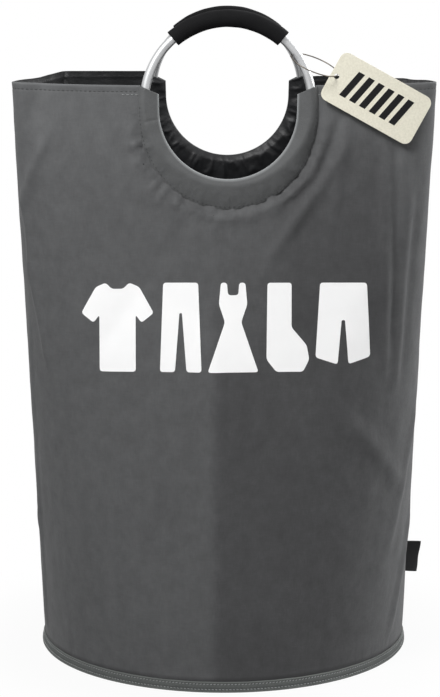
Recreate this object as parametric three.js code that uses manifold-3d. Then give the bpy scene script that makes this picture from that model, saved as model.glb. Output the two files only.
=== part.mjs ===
// A tall free standing laundry bag of stiff coated cloth, with a four cornered mouth, a round foot
// and two ring handles of aluminium tube. Millimetres, +Z up. The origin is on the floor under the
// middle of the foot, the front faces -Y and the label and tag are on the +X side.
import * as THREE from 'three';
import { mergeVertices } from 'three/addons/utils/BufferGeometryUtils.js';
import Module from 'manifold-3d';

const wasm = await Module();
wasm.setup();

// Cloth body
const bagHeight = 790;
const mouthHalfWidthFront = 275;
const mouthHalfWidthBack = 234;
const mouthHalfDepth = 177;
const mouthCornerRadius = 14;
const footRadius = 254;
const clothThickness = 1.5;
const hemDepth = 11;
const foldHeight = 560;
const pieceGap = 0.3;

// Foot seam and base
const seamTop = 14;
const seamFlare = 2.2;
const basePanelHeight = 12;
const clothEdgeHeight = 2;
const bindingThickness = 1.2;

// Side seams and label
const seamTapeWidth = 13;
const seamTapeThickness = 1;
const seamTapeStandOff = 0.8;
const labelHeight = 107;
const labelLength = 43;
const labelReach = 31;
const labelThickness = 1.2;

// Ring handles. Both sit a little to the right of the middle of their walls, as seen from the front.
const handleSideShift = 5.5;
const ringRadius = 108;
const ringDrop = 23;
const tubeRadius = 6;
const tubeWall = 1.1;
const tubeJointGap = 0.6;
const spigotLength = 46;
const spigotGap = 0.6;
const gripGap = 0.5;
const gripRadius = 11.4;
const gripAngle = THREE.MathUtils.degToRad(82);

// Sleeve sewn round each cut-out
const cutoutRadius = 89;
const cutoutDrop = 9;
const sleeveWall = 2;
const sleeveEdgeMargin = 1;
const sleeveTopAngle = THREE.MathUtils.degToRad(10);

// Swing tag
const tagLength = 132;
const tagWidth = 68;
const tagCornerRadius = 10;
const tagThickness = 1;
const tagHoleRadius = 2.6;
const tagHoleInset = 8;
const tagStandOff = 10;
const tagAngle = THREE.MathUtils.degToRad(29);
const wireRadius = 0.7;
const loopRadius = 32.5;
const loopHeight = 33;
const loopAngle = THREE.MathUtils.degToRad(21.7);
const loopDip = THREE.MathUtils.degToRad(9.6);

// Counts that set how finely round stretches are divided
const frontCornerSteps = 12;
const backCornerSteps = 10;
const ringSteps = 48;
const tubeSides = 10;
const boreSides = 8;
const gripSteps = 14;
const gripSides = 14;
const sleeveSteps = 26;
const sleeveSides = 12;
const windowSides = 72;
const loopSteps = 28;
const wireSides = 6;
const roundSteps = 6;

const cuttingOverrun = 5;
const pointTolerance = 1e-3;
const cutTolerance = 1e-4;

const finish = (color, roughness, metalness) =>
  new THREE.MeshStandardMaterial({ color, roughness, metalness });
const materials = {
  cloth: finish(0x57585a, 0.8, 0),
  binding: finish(0x505254, 0.85, 0),
  tape: finish(0x1b1b1c, 0.8, 0),
  label: finish(0x101011, 0.75, 0),
  aluminium: finish(0xd9dadb, 0.3, 1),
  spigot: finish(0x8a8c8e, 0.5, 1),
  foam: finish(0x1d1d1e, 0.9, 0),
  card: finish(0xdcd7c4, 0.85, 0),
  wire: finish(0x8f8880, 0.4, 1),
};

const hamper = new THREE.Group();

function addPiece(parent, name, geometry, material) {
  const mesh = new THREE.Mesh(geometry, material);
  mesh.name = name;
  parent.add(mesh);
  return mesh;
}

// Joins equal corners and leaves out triangles that have shrunk to a line.
function closedGeometry(positions, indices) {
  const raw = new THREE.BufferGeometry();
  raw.setAttribute('position', new THREE.Float32BufferAttribute(positions, 3));
  raw.setIndex(indices);
  const merged = mergeVertices(raw, pointTolerance);
  const kept = [];
  const order = merged.index.array;
  for (let i = 0; i < order.length; i += 3) {
    const [a, b, c] = [order[i], order[i + 1], order[i + 2]];
    if (a !== b && b !== c && c !== a) kept.push(a, b, c);
  }
  merged.setIndex(kept);
  return merged;
}

function toManifold(geometry) {
  const bare = geometry.clone();
  bare.deleteAttribute('normal');
  bare.deleteAttribute('uv');
  const merged = mergeVertices(bare, cutTolerance);
  return new wasm.Manifold(new wasm.Mesh({
    numProp: 3,
    vertProperties: new Float32Array(merged.attributes.position.array),
    triVerts: new Uint32Array(merged.index.array),
  }));
}

function fromManifold(solid) {
  const mesh = solid.getMesh();
  const geometry = new THREE.BufferGeometry();
  geometry.setAttribute('position', new THREE.BufferAttribute(new Float32Array(mesh.vertProperties), 3));
  geometry.setIndex(new THREE.BufferAttribute(new Uint32Array(mesh.triVerts), 1));
  return geometry;
}

// Outline of the bag at any height. The walls are ruled: four flat faces that narrow to a point at
// the foot, joined by four corners whose radius grows from the mouth's to the foot's. A station is
// one straight line of that surface, from foot to rim.
const sideSlant = Math.atan2(
  mouthHalfWidthFront - mouthHalfWidthBack,
  2 * (mouthHalfDepth - mouthCornerRadius),
);

function riseShare(z) {
  return Math.max(0, (z - seamTop) / (bagHeight - seamTop));
}

function cornerRadiusAt(z) {
  return THREE.MathUtils.lerp(footRadius, mouthCornerRadius, riseShare(z));
}

function cornerCentreAt(corner, z) {
  const halfWidth = corner.front ? mouthHalfWidthFront : mouthHalfWidthBack;
  const share = riseShare(z);
  return new THREE.Vector2(
    corner.side * (halfWidth - mouthCornerRadius) * share,
    (corner.front ? -1 : 1) * (mouthHalfDepth - mouthCornerRadius) * share,
  );
}

function stationPoint(station, z, inset) {
  const centre = cornerCentreAt(station.from, z);
  if (station.to) centre.lerp(cornerCentreAt(station.to, z), station.share);
  const reach = cornerRadiusAt(z) - inset;
  return new THREE.Vector3(
    centre.x + reach * Math.cos(station.angle),
    centre.y + reach * Math.sin(station.angle),
    z,
  );
}

const rightFront = { side: 1, front: true };
const rightBack = { side: 1, front: false };
const leftFront = { side: -1, front: true };
const leftBack = { side: -1, front: false };
const frontAngle = -Math.PI / 2;
const backAngle = Math.PI / 2;

function cornerStations(corner, startAngle, endAngle, steps) {
  const stations = [];
  for (let i = 0; i <= steps; i++) {
    const angle = THREE.MathUtils.lerp(startAngle, endAngle, i / steps);
    stations.push({ from: corner, angle });
  }
  return stations;
}

const rightSeam = { from: rightFront, to: rightBack, share: 0.5, angle: sideSlant };
const leftSeam = { from: leftBack, to: leftFront, share: 0.5, angle: Math.PI - sideSlant };
const cornerRuns = {
  rightFront: cornerStations(rightFront, frontAngle, sideSlant, frontCornerSteps),
  rightBack: cornerStations(rightBack, sideSlant, backAngle, backCornerSteps),
  leftBack: cornerStations(leftBack, backAngle, Math.PI - sideSlant, backCornerSteps),
  leftFront: cornerStations(leftFront, Math.PI - sideSlant, 2 * Math.PI + frontAngle, frontCornerSteps),
};

// Carries a closed profile of { z, inset } points, given anticlockwise with inset to the left, along
// the outline from station to station. An open run gets flat ends.
function sweepAlongOutline(profile, stations, closed) {
  const positions = [];
  const indices = [];
  const count = profile.length;
  for (const station of stations) {
    for (const point of profile) {
      positions.push(...stationPoint(station, point.z, point.inset).toArray());
    }
  }
  const runs = closed ? stations.length : stations.length - 1;
  for (let i = 0; i < runs; i++) {
    const here = i * count;
    const next = ((i + 1) % stations.length) * count;
    for (let j = 0; j < count; j++) {
      const k = (j + 1) % count;
      indices.push(here + j, next + j, next + k, here + j, next + k, here + k);
    }
  }
  if (!closed) {
    const flat = profile.map((point) => new THREE.Vector2(-point.inset, point.z));
    const last = (stations.length - 1) * count;
    for (const [a, b, c] of THREE.ShapeUtils.triangulateShape(flat, [])) {
      indices.push(a, b, c, last + a, last + c, last + b);
    }
  }
  return closedGeometry(positions, indices);
}

// Profiles run up the outside and down the inside, as seen with the outside to the right.
const wallLow = clothEdgeHeight;
const hemThickness = 2 * clothThickness;
const lowerWallProfile = [
  { z: wallLow, inset: -seamFlare },
  { z: seamTop, inset: 0 },
  { z: foldHeight, inset: 0 },
  { z: foldHeight, inset: clothThickness },
  { z: seamTop, inset: clothThickness },
  { z: wallLow, inset: clothThickness - seamFlare },
];
const upperWallProfile = [
  { z: foldHeight + pieceGap, inset: 0 },
  { z: bagHeight, inset: 0 },
  { z: bagHeight, inset: hemThickness },
  { z: bagHeight - hemDepth, inset: hemThickness },
  { z: bagHeight - hemDepth, inset: clothThickness },
  { z: foldHeight + pieceGap, inset: clothThickness },
];

// The front and back panels below the fold line meet at the side seams, half a gap each.
function nudged(station, share) {
  return { ...station, share: station.share + share };
}

const seamShare = pieceGap / (4 * (mouthHalfDepth - mouthCornerRadius));
const seamAngleGap = pieceGap / (2 * footRadius);

// A panel's edge at a seam, and the corner's nearest station, which it meets in a point at the foot.
function seamEdge(seam, towards) {
  const edge = nudged(seam, towards * seamShare);
  edge.angle += towards * seamAngleGap;
  return edge;
}

function besideSeam(corner, seam, towards) {
  return { from: corner, angle: seam.angle + towards * seamAngleGap };
}

const wallRuns = {
  leftFront: [
    seamEdge(leftSeam, 1),
    besideSeam(leftFront, leftSeam, 1),
    ...cornerRuns.leftFront.slice(1),
  ],
  rightFront: [
    ...cornerRuns.rightFront.slice(0, -1),
    besideSeam(rightFront, rightSeam, -1),
    seamEdge(rightSeam, -1),
  ],
  rightBack: [
    seamEdge(rightSeam, 1),
    besideSeam(rightBack, rightSeam, 1),
    ...cornerRuns.rightBack.slice(1),
  ],
  leftBack: [
    ...cornerRuns.leftBack.slice(0, -1),
    besideSeam(leftBack, leftSeam, -1),
    seamEdge(leftSeam, -1),
  ],
};
const frontStations = [...wallRuns.leftFront, ...wallRuns.rightFront];
const backStations = [...wallRuns.rightBack, ...wallRuns.leftBack];
addPiece(hamper, 'front_panel', sweepAlongOutline(lowerWallProfile, frontStations, false), materials.cloth);
addPiece(hamper, 'back_panel', sweepAlongOutline(lowerWallProfile, backStations, false), materials.cloth);

const cornerPieces = [
  ['front_left_corner', wallRuns.leftFront],
  ['front_right_corner', wallRuns.rightFront],
  ['back_right_corner', wallRuns.rightBack],
  ['back_left_corner', wallRuns.leftBack],
];
for (const [name, stations] of cornerPieces) {
  addPiece(hamper, name, sweepAlongOutline(upperWallProfile, stations, false), materials.cloth);
}

// The base panel is a disc whose edge is turned down inside the walls.
const allStations = [
  ...cornerRuns.rightFront,
  ...cornerRuns.rightBack,
  ...cornerRuns.leftBack,
  ...cornerRuns.leftFront,
];
const lipOuter = clothThickness + pieceGap;
const lipInner = lipOuter + clothThickness;
const baseProfile = [
  { z: wallLow, inset: lipOuter - seamFlare },
  { z: basePanelHeight + clothThickness, inset: lipOuter },
  { z: basePanelHeight + clothThickness, inset: footRadius },
  { z: basePanelHeight, inset: footRadius },
  { z: basePanelHeight, inset: lipInner },
  { z: wallLow, inset: lipInner - seamFlare },
];
addPiece(hamper, 'base_panel', sweepAlongOutline(baseProfile, allStations, true), materials.tape);

// The foot binding is a tape folded up round the raw edges of walls and base.
const bindingOuter = -pieceGap;
const bindingInner = lipInner + pieceGap;
const bindingInnerTop = basePanelHeight - pieceGap;
const bindingProfile = [
  { z: 0, inset: bindingOuter - bindingThickness - seamFlare },
  { z: seamTop, inset: bindingOuter - bindingThickness },
  { z: seamTop, inset: bindingOuter },
  { z: bindingThickness, inset: bindingOuter - seamFlare },
  { z: bindingThickness, inset: bindingInner - seamFlare },
  { z: bindingInnerTop, inset: bindingInner },
  { z: bindingInnerTop, inset: bindingInner + bindingThickness },
  { z: 0, inset: bindingInner + bindingThickness - seamFlare },
];
addPiece(hamper, 'foot_binding', sweepAlongOutline(bindingProfile, allStations, true), materials.binding);

// A flat strip that follows a side seam, from one height to another, between two insets.
function seamStrip(seam, lowZ, highZ, outerInset, innerInset, width) {
  const along = new THREE.Vector3(-Math.sin(seam.angle), Math.cos(seam.angle), 0);
  const positions = [];
  for (const z of [lowZ, highZ]) {
    for (const [inset, side] of [[outerInset, -1], [outerInset, 1], [innerInset, 1], [innerInset, -1]]) {
      const corner = stationPoint(seam, z, inset).addScaledVector(along, (side * width) / 2);
      positions.push(...corner.toArray());
    }
  }
  const indices = [0, 2, 1, 0, 3, 2, 4, 5, 6, 4, 6, 7];
  for (let j = 0; j < 4; j++) {
    const k = (j + 1) % 4;
    indices.push(j, k, 4 + k, j, 4 + k, 4 + j);
  }
  return closedGeometry(positions, indices);
}

const tapeOuter = clothThickness + seamTapeStandOff;
const tapeInner = tapeOuter + seamTapeThickness;
const tapeLow = basePanelHeight + clothThickness + pieceGap;
const tapeHigh = bagHeight - hemDepth - pieceGap;
for (const [side, seam] of [['left', leftSeam], ['right', rightSeam]]) {
  const lower = seamStrip(seam, tapeLow, foldHeight, tapeOuter, tapeInner, seamTapeWidth);
  addPiece(hamper, `${side}_seam_tape`, lower, materials.tape);
  const upper = seamStrip(seam, foldHeight + pieceGap, tapeHigh, tapeOuter, tapeInner, seamTapeWidth);
  addPiece(hamper, `${side}_seam_tape_upper`, upper, materials.tape);
}

// The woven label is folded in two and caught in the right side seam, just above the foot.
const labelRootInset = -pieceGap;
const labelLow = labelHeight - labelLength / 2;
const label = seamStrip(
  rightSeam,
  labelLow,
  labelLow + labelLength,
  labelRootInset - labelReach,
  labelRootInset,
  labelThickness,
);
addPiece(hamper, 'side_label', label, materials.label);

// Each handle is built in the plane of its wall: local X along the rim, local Z up the wall from the
// fold line, local Y into the bag. The plane is the middle of the cloth.
const flatFootY = footRadius - clothThickness / 2;
const flatMouthY = mouthHalfDepth - clothThickness / 2;
const wallLean = Math.atan2(flatFootY - flatMouthY, bagHeight - seamTop);
const planeScale = 1 / Math.cos(wallLean);
const foldY = THREE.MathUtils.lerp(flatFootY, flatMouthY, riseShare(foldHeight));
const flapHeight = (bagHeight - foldHeight) * planeScale;
const ringCentre = flapHeight - ringDrop;
const cutoutCentre = ringCentre - cutoutDrop;
const sleeveOuterRadius = ringRadius + tubeRadius + sleeveWall;
const sleeveHalfThickness = tubeRadius + sleeveWall;
const boreRadius = tubeRadius + pieceGap;
const windowRadius = (sleeveOuterRadius + pieceGap) / Math.cos(Math.PI / windowSides);

// An arc of the ring's circle in the handle's plane. Angle 0 points along +X, a quarter turn points up.
class RingArc extends THREE.Curve {
  constructor(startAngle, endAngle) {
    super();
    this.startAngle = startAngle;
    this.endAngle = endAngle;
  }

  getPoint(share, target = new THREE.Vector3()) {
    const angle = THREE.MathUtils.lerp(this.startAngle, this.endAngle, share);
    return target.set(ringRadius * Math.cos(angle), 0, ringCentre + ringRadius * Math.sin(angle));
  }
}

function circlePath(PathType, radius, sides) {
  const path = new PathType();
  for (let i = 0; i < sides; i++) {
    const angle = (2 * Math.PI * i) / sides;
    const [x, y] = [radius * Math.cos(angle), radius * Math.sin(angle)];
    if (i === 0) path.moveTo(x, y);
    else path.lineTo(x, y);
  }
  path.closePath();
  return path;
}

function sweepRound(outerRadius, outerSides, innerRadius, innerSides, curve, steps) {
  const shape = circlePath(THREE.Shape, outerRadius, outerSides);
  if (innerRadius > 0) shape.holes.push(circlePath(THREE.Path, innerRadius, innerSides));
  return new THREE.ExtrudeGeometry(shape, { steps, extrudePath: curve, bevelEnabled: false });
}

// Radius from the ring's centre to the cut-out's edge: a circle lower down, with straight sides above
// its middle.
function cutoutReach(angle) {
  const [dx, dz] = [Math.cos(angle), Math.sin(angle)];
  if (dz * cutoutRadius > -cutoutDrop * Math.abs(dx)) return cutoutRadius / Math.abs(dx);
  return -cutoutDrop * dz + Math.sqrt(cutoutRadius ** 2 - (cutoutDrop * dx) ** 2);
}

// The sleeve is an oval in each plane through the ring's centre, from the cut-out's edge to just
// outside the tube.
function sleeveSolid() {
  const startAngle = Math.PI - Math.asin(ringDrop / ringRadius) - sleeveTopAngle;
  const endAngle = 3 * Math.PI - startAngle;
  const positions = [];
  const indices = [];
  for (let i = 0; i <= sleeveSteps; i++) {
    const angle = THREE.MathUtils.lerp(startAngle, endAngle, i / sleeveSteps);
    const inner = cutoutReach(angle);
    const outer = sleeveOuterRadius;
    for (let j = 0; j < sleeveSides; j++) {
      const turn = (2 * Math.PI * j) / sleeveSides;
      const reach = (inner + outer) / 2 + ((outer - inner) / 2) * Math.cos(turn);
      const depth = (sleeveHalfThickness + sleeveEdgeMargin) * Math.sin(turn);
      positions.push(reach * Math.cos(angle), depth, ringCentre + reach * Math.sin(angle));
    }
  }
  for (let i = 0; i < sleeveSteps; i++) {
    for (let j = 0; j < sleeveSides; j++) {
      const k = (j + 1) % sleeveSides;
      const [here, next] = [i * sleeveSides, (i + 1) * sleeveSides];
      indices.push(here + j, here + k, next + k, here + j, next + k, next + j);
    }
  }
  const last = sleeveSteps * sleeveSides;
  for (let j = 1; j < sleeveSides - 1; j++) {
    indices.push(0, j + 1, j, last, last + j, last + j + 1);
  }
  return toManifold(closedGeometry(positions, indices));
}

function boxSolid(low, high) {
  const size = new THREE.Vector3().subVectors(high, low);
  const geometry = new THREE.BoxGeometry(size.x, size.y, size.z);
  geometry.translate(...new THREE.Vector3().addVectors(low, high).multiplyScalar(0.5).toArray());
  return toManifold(geometry);
}

const aboveRim = boxSolid(
  new THREE.Vector3(-2 * ringRadius, -2 * ringRadius, flapHeight),
  new THREE.Vector3(2 * ringRadius, 2 * ringRadius, flapHeight + 2 * ringRadius),
);

function sleeveGeometry() {
  const bore = sweepRound(boreRadius, tubeSides, 0, 0, new RingArc(Math.PI / 2, 5 * Math.PI / 2), ringSteps);
  return fromManifold(sleeveSolid().subtract(toManifold(bore)).subtract(aboveRim));
}

// The upper part of a wall between its two corners, with its hem and the sleeve's place cut out.
function flapGeometry(mouthHalfWidth, sideShift) {
  const flatHalfWidth = (z) => (mouthHalfWidth - mouthCornerRadius) * riseShare(z) - pieceGap;
  const low = pieceGap;
  const topHalf = flatHalfWidth(bagHeight);
  const lowHalf = flatHalfWidth(foldHeight);
  const outline = new THREE.Shape([
    new THREE.Vector2(-lowHalf, low),
    new THREE.Vector2(lowHalf, low),
    new THREE.Vector2(topHalf, flapHeight),
    new THREE.Vector2(-topHalf, flapHeight),
  ]);
  const sheet = new THREE.ExtrudeGeometry(outline, { depth: clothThickness, bevelEnabled: false });
  sheet.rotateX(Math.PI / 2);
  sheet.translate(0, clothThickness / 2, 0);
  const hemLow = flapHeight - hemDepth;
  const hemHalf = THREE.MathUtils.lerp(lowHalf, topHalf, hemLow / flapHeight);
  const hemOutline = new THREE.Shape([
    new THREE.Vector2(-hemHalf, hemLow),
    new THREE.Vector2(hemHalf, hemLow),
    new THREE.Vector2(topHalf, flapHeight),
    new THREE.Vector2(-topHalf, flapHeight),
  ]);
  const hemReach = hemThickness - clothThickness / 2;
  const hem = new THREE.ExtrudeGeometry(hemOutline, { depth: hemReach, bevelEnabled: false });
  hem.rotateX(Math.PI / 2);
  hem.translate(0, hemReach, 0);
  const cloth = toManifold(sheet).add(toManifold(hem));
  const window = new THREE.CylinderGeometry(windowRadius, windowRadius, 2 * cuttingOverrun, windowSides);
  window.translate(sideShift, 0, ringCentre);
  return fromManifold(cloth.subtract(toManifold(window)));
}

// Adds one handle and the flap that it stands in, and gives back the group of the ring's plane.
function handleGroup(prefix, mouthHalfWidth, turn, sideShift) {
  const group = new THREE.Group();
  const facing = new THREE.Group();
  facing.rotation.z = turn;
  group.position.set(0, -foldY, foldHeight);
  group.rotation.x = -wallLean;
  facing.add(group);
  hamper.add(facing);
  const ringGroup = new THREE.Group();
  ringGroup.position.x = sideShift;
  group.add(ringGroup);

  addPiece(group, `${prefix}_flap`, flapGeometry(mouthHalfWidth, sideShift), materials.cloth);
  addPiece(ringGroup, `${prefix}_sleeve`, sleeveGeometry(), materials.cloth);

  const jointHalfAngle = tubeJointGap / (2 * ringRadius);
  const tubeArc = new RingArc(Math.PI / 2 + jointHalfAngle, 5 * Math.PI / 2 - jointHalfAngle);
  const tube = sweepRound(tubeRadius, tubeSides, tubeRadius - tubeWall, boreSides, tubeArc, ringSteps);
  addPiece(ringGroup, `${prefix}_ring_tube`, tube, materials.aluminium);

  const spigotHalfAngle = spigotLength / (2 * ringRadius);
  const spigotArc = new RingArc(Math.PI / 2 - spigotHalfAngle, Math.PI / 2 + spigotHalfAngle);
  const spigotRadius = tubeRadius - tubeWall - spigotGap;
  const spigot = sweepRound(spigotRadius, boreSides, 0, 0, spigotArc, roundSteps);
  addPiece(ringGroup, `${prefix}_tube_spigot`, spigot, materials.spigot);

  const gripArc = new RingArc(Math.PI / 2 - gripAngle / 2, Math.PI / 2 + gripAngle / 2);
  const gripBore = tubeRadius + gripGap;
  const grip = sweepRound(gripRadius, gripSides, gripBore, tubeSides, gripArc, gripSteps);
  addPiece(ringGroup, `${prefix}_grip`, grip, materials.foam);
  return ringGroup;
}

const frontRing = handleGroup('front', mouthHalfWidthFront, 0, handleSideShift);
handleGroup('back', mouthHalfWidthBack, Math.PI, -handleSideShift);

// The wire loop hangs on the inside of the front ring's right leg, at loopHeight above the rim, and
// slants down to the right. Its near side dips, and the card hangs on that side, in front of the wall.
const loopLocalHeight = flapHeight + loopHeight;
const legAngle = Math.asin((loopLocalHeight - ringCentre) / ringRadius);
const legRadial = new THREE.Vector3(Math.cos(legAngle), 0, Math.sin(legAngle));
const legPoint = legRadial.clone().multiplyScalar(ringRadius).add(new THREE.Vector3(0, 0, ringCentre));
const loopAlong = new THREE.Vector3(Math.cos(loopAngle), 0, -Math.sin(loopAngle));
const loopSeatRadius = ringRadius - tubeRadius - wireRadius - pieceGap;
const legAlong = ringRadius * Math.cos(legAngle + loopAngle);
const legSlack = legAlong - Math.sqrt(legAlong ** 2 - ringRadius ** 2 + loopSeatRadius ** 2);
const loopCentre = legPoint.clone().addScaledVector(loopAlong, loopRadius - legSlack);
const loopUp = new THREE.Vector3(Math.sin(loopAngle), 0, Math.cos(loopAngle));
const loopNear = new THREE.Vector3(0, -Math.cos(loopDip), 0).addScaledVector(loopUp, -Math.sin(loopDip));
const loopAxis = new THREE.Vector3().crossVectors(loopNear, loopAlong);
const wireProfile = [];
for (let i = 0; i <= wireSides; i++) {
  const angle = (2 * Math.PI * i) / wireSides;
  wireProfile.push(new THREE.Vector2(loopRadius + wireRadius * Math.cos(angle), wireRadius * Math.sin(angle)));
}
const loopGroup = new THREE.Group();
loopGroup.position.copy(loopCentre);
loopGroup.quaternion.setFromRotationMatrix(
  new THREE.Matrix4().makeBasis(loopAlong, loopAxis, loopNear),
);
frontRing.add(loopGroup);
addPiece(loopGroup, 'tag_wire_loop', new THREE.LatheGeometry(wireProfile, loopSteps), materials.wire);

// The loop crosses the card's plane on its near right side. The card hangs on it by the edge of its
// hole, so the hole's middle lies further along the card, by what the slanting wire leaves free.
const standOff = clothThickness / 2 + tagStandOff;
const crossing = Math.asin(standOff / (loopRadius * Math.cos(loopDip)));
const wireHalfWidth = wireRadius / Math.cos(crossing) + (tagThickness / 2) * Math.tan(crossing);
const holeSlack = tagHoleRadius - wireHalfWidth - pieceGap;
const cardAlong = new THREE.Vector3(Math.cos(tagAngle), 0, -Math.sin(tagAngle));
const holePoint = loopCentre.clone()
  .addScaledVector(loopAlong, loopRadius * Math.cos(crossing))
  .addScaledVector(loopNear, loopRadius * Math.sin(crossing))
  .addScaledVector(cardAlong, holeSlack);

function cardShape() {
  const [halfLength, halfWidth, radius] = [tagLength / 2, tagWidth / 2, tagCornerRadius];
  const shape = new THREE.Shape();
  shape.moveTo(-halfLength + radius, -halfWidth);
  shape.lineTo(halfLength - radius, -halfWidth);
  shape.absarc(halfLength - radius, -halfWidth + radius, radius, -Math.PI / 2, 0, false);
  shape.lineTo(halfLength, halfWidth - radius);
  shape.absarc(halfLength - radius, halfWidth - radius, radius, 0, Math.PI / 2, false);
  shape.lineTo(-halfLength + radius, halfWidth);
  shape.absarc(-halfLength + radius, halfWidth - radius, radius, Math.PI / 2, Math.PI, false);
  shape.lineTo(-halfLength, -halfWidth + radius);
  shape.absarc(-halfLength + radius, -halfWidth + radius, radius, Math.PI, 1.5 * Math.PI, false);
  const hole = new THREE.Path();
  hole.absarc(-halfLength + tagHoleInset, 0, tagHoleRadius, 0, 2 * Math.PI, true);
  shape.holes.push(hole);
  return shape;
}

const tagGroup = new THREE.Group();
tagGroup.position.copy(holePoint);
tagGroup.rotation.y = tagAngle;
frontRing.add(tagGroup);
const card = new THREE.ExtrudeGeometry(cardShape(), {
  depth: tagThickness,
  bevelEnabled: false,
  curveSegments: roundSteps,
});
card.translate(tagLength / 2 - tagHoleInset, 0, -tagThickness / 2);
card.rotateX(Math.PI / 2);
addPiece(tagGroup, 'tag_card', card, materials.card);

export default hamper;
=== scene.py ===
from math import acos, asin, atan2, cos, exp, hypot, pi, radians, sin, sqrt, tau

import bmesh
import bpy
import numpy as np
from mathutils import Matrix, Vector, noise


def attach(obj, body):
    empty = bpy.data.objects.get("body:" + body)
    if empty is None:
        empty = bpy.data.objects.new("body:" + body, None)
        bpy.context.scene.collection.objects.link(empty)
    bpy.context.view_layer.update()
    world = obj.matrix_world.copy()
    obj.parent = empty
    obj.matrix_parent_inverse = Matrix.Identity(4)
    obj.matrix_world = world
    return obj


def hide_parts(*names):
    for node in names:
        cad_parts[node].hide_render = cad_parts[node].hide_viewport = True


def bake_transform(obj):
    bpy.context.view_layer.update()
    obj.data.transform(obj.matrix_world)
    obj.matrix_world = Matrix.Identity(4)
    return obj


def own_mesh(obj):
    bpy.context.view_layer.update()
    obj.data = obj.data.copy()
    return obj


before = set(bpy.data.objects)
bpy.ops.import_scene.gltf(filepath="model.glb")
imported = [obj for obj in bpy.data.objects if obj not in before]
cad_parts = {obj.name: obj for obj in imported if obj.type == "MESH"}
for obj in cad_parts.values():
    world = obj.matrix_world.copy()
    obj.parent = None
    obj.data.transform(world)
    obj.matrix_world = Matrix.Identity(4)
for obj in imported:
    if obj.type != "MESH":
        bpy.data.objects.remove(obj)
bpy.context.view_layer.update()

# Camera. A long lens in front of the hamper and a little above its rim, looking slightly down, so that
# the mouth shows as a thin slot between the two rims.
camera_place = (-0.005, -2.945, 0.931)
camera_pitch = radians(9.95)
photo_height = 697
focal_pixels = 2137
sensor_side = 36


def add_object(name, data):
    made = bpy.data.objects.new(name, data)
    bpy.context.scene.collection.objects.link(made)
    return made


camera_data = bpy.data.cameras.new("camera")
camera_data.sensor_width = sensor_side
camera_data.lens = focal_pixels * sensor_side / photo_height
camera_data.clip_end = 60
camera = add_object("camera", camera_data)
camera.location = camera_place
camera.rotation_euler = (pi / 2 - camera_pitch, 0, 0)
bpy.context.scene.camera = camera


# Floor. A plain white studio floor without an edge. It takes the hamper's soft shadow, and the camera
# sees the same white in it as in the air behind.
class Link:
    """A socket of a material, with the arithmetic that adds its nodes."""

    def __init__(self, finish, socket):
        self.finish = finish
        self.socket = socket

    def maths(self, operation, *others):
        inputs = dict(enumerate((self, *others)))
        return self.finish.node("ShaderNodeMath", {"operation": operation}, inputs)

    def __add__(self, other):
        return self.maths("ADD", other)

    def __sub__(self, other):
        return self.maths("SUBTRACT", other)

    def __mul__(self, other):
        return self.maths("MULTIPLY", other)

    def __rsub__(self, other):
        return self.finish.node("ShaderNodeMath", {"operation": "SUBTRACT"}, {0: other, 1: self})

    __radd__ = __add__
    __rmul__ = __mul__

    def smooth(self, low, high):
        settings = {"interpolation_type": "SMOOTHSTEP"}
        return self.finish.node("ShaderNodeMapRange", settings, {0: self, 1: low, 2: high})

    def fall(self, low, high):
        return 1.0 - self.smooth(low, high)

    def most(self, other):
        return self.maths("MAXIMUM", other)

    def ribs(self, pitch):
        """Even ribs, from 0 in the valleys to 1 on the crests."""
        return (self * (pi / pitch)).maths("SINE").maths("ABSOLUTE")


class Finish:
    """A material, placed by an attribute of the mesh or else by its own axes."""

    def __init__(self, name, attribute=None, **shader):
        self.attribute = attribute
        self.material = bpy.data.materials.new(name)
        self.material.use_nodes = True
        self.tree = self.material.node_tree
        self.shader = self.tree.nodes["Principled BSDF"]
        self.set(self.shader, shader)

    def set(self, node, inputs):
        for key, value in inputs.items():
            socket = node.inputs[key.replace("_", " ") if isinstance(key, str) else key]
            if isinstance(value, Link):
                self.tree.links.new(value.socket, socket)
            elif isinstance(value, tuple) and socket.type == "RGBA":
                socket.default_value = (*value, 1)
            else:
                socket.default_value = value

    def node(self, kind, settings=None, inputs=None, output=0):
        made = self.tree.nodes.new(kind)
        for key, value in (settings or {}).items():
            setattr(made, key, value)
        self.set(made, inputs or {})
        return Link(self, made.outputs[output])

    def place(self, scale=1):
        """Where a point is on the piece, in metres times scale."""
        if self.attribute:
            start = self.node("ShaderNodeAttribute", {"attribute_name": self.attribute}, output="Vector")
        else:
            start = self.node("ShaderNodeTexCoord", output="Object")
        scales = scale if isinstance(scale, tuple) else (scale, scale, scale)
        return self.node("ShaderNodeVectorMath", {"operation": "MULTIPLY"}, {0: start, 1: scales})

    def noise(self, scale, detail=2.0, rough=0.5):
        inputs = {"Vector": self.place(scale), "Scale": 1.0, "Detail": detail, "Roughness": rough}
        return self.node("ShaderNodeTexNoise", {}, inputs)

    def mix(self, share, low, high):
        inputs = {0: share, 6: low, 7: high}
        return self.node("ShaderNodeMix", {"data_type": "RGBA"}, inputs, output=2)

    def axis(self, where, name):
        return self.node("ShaderNodeSeparateXYZ", {}, {0: where}, output=name)

    def bump(self, height, distance, strength=1.0):
        inputs = {"Height": height, "Distance": distance, "Strength": strength}
        self.set(self.shader, {"Normal": self.node("ShaderNodeBump", {}, inputs)})

    def paint(self, share, dark, pale, roughness=None):
        """Colours the piece between two shades, and gives it its roughness."""
        self.set(self.shader, {"Base Color": self.mix(share, shade(*dark), shade(*pale))})
        if roughness:
            self.set(self.shader, {"Roughness": roughness})


def shade(red, green, blue):
    """A colour as a screen shows it, out of 255, as the light it gives back."""
    def light(value):
        return ((value / 255 + 0.055) / 1.055) ** 2.4 if value > 10 else value / 3294.6

    return light(red), light(green), light(blue)


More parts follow.
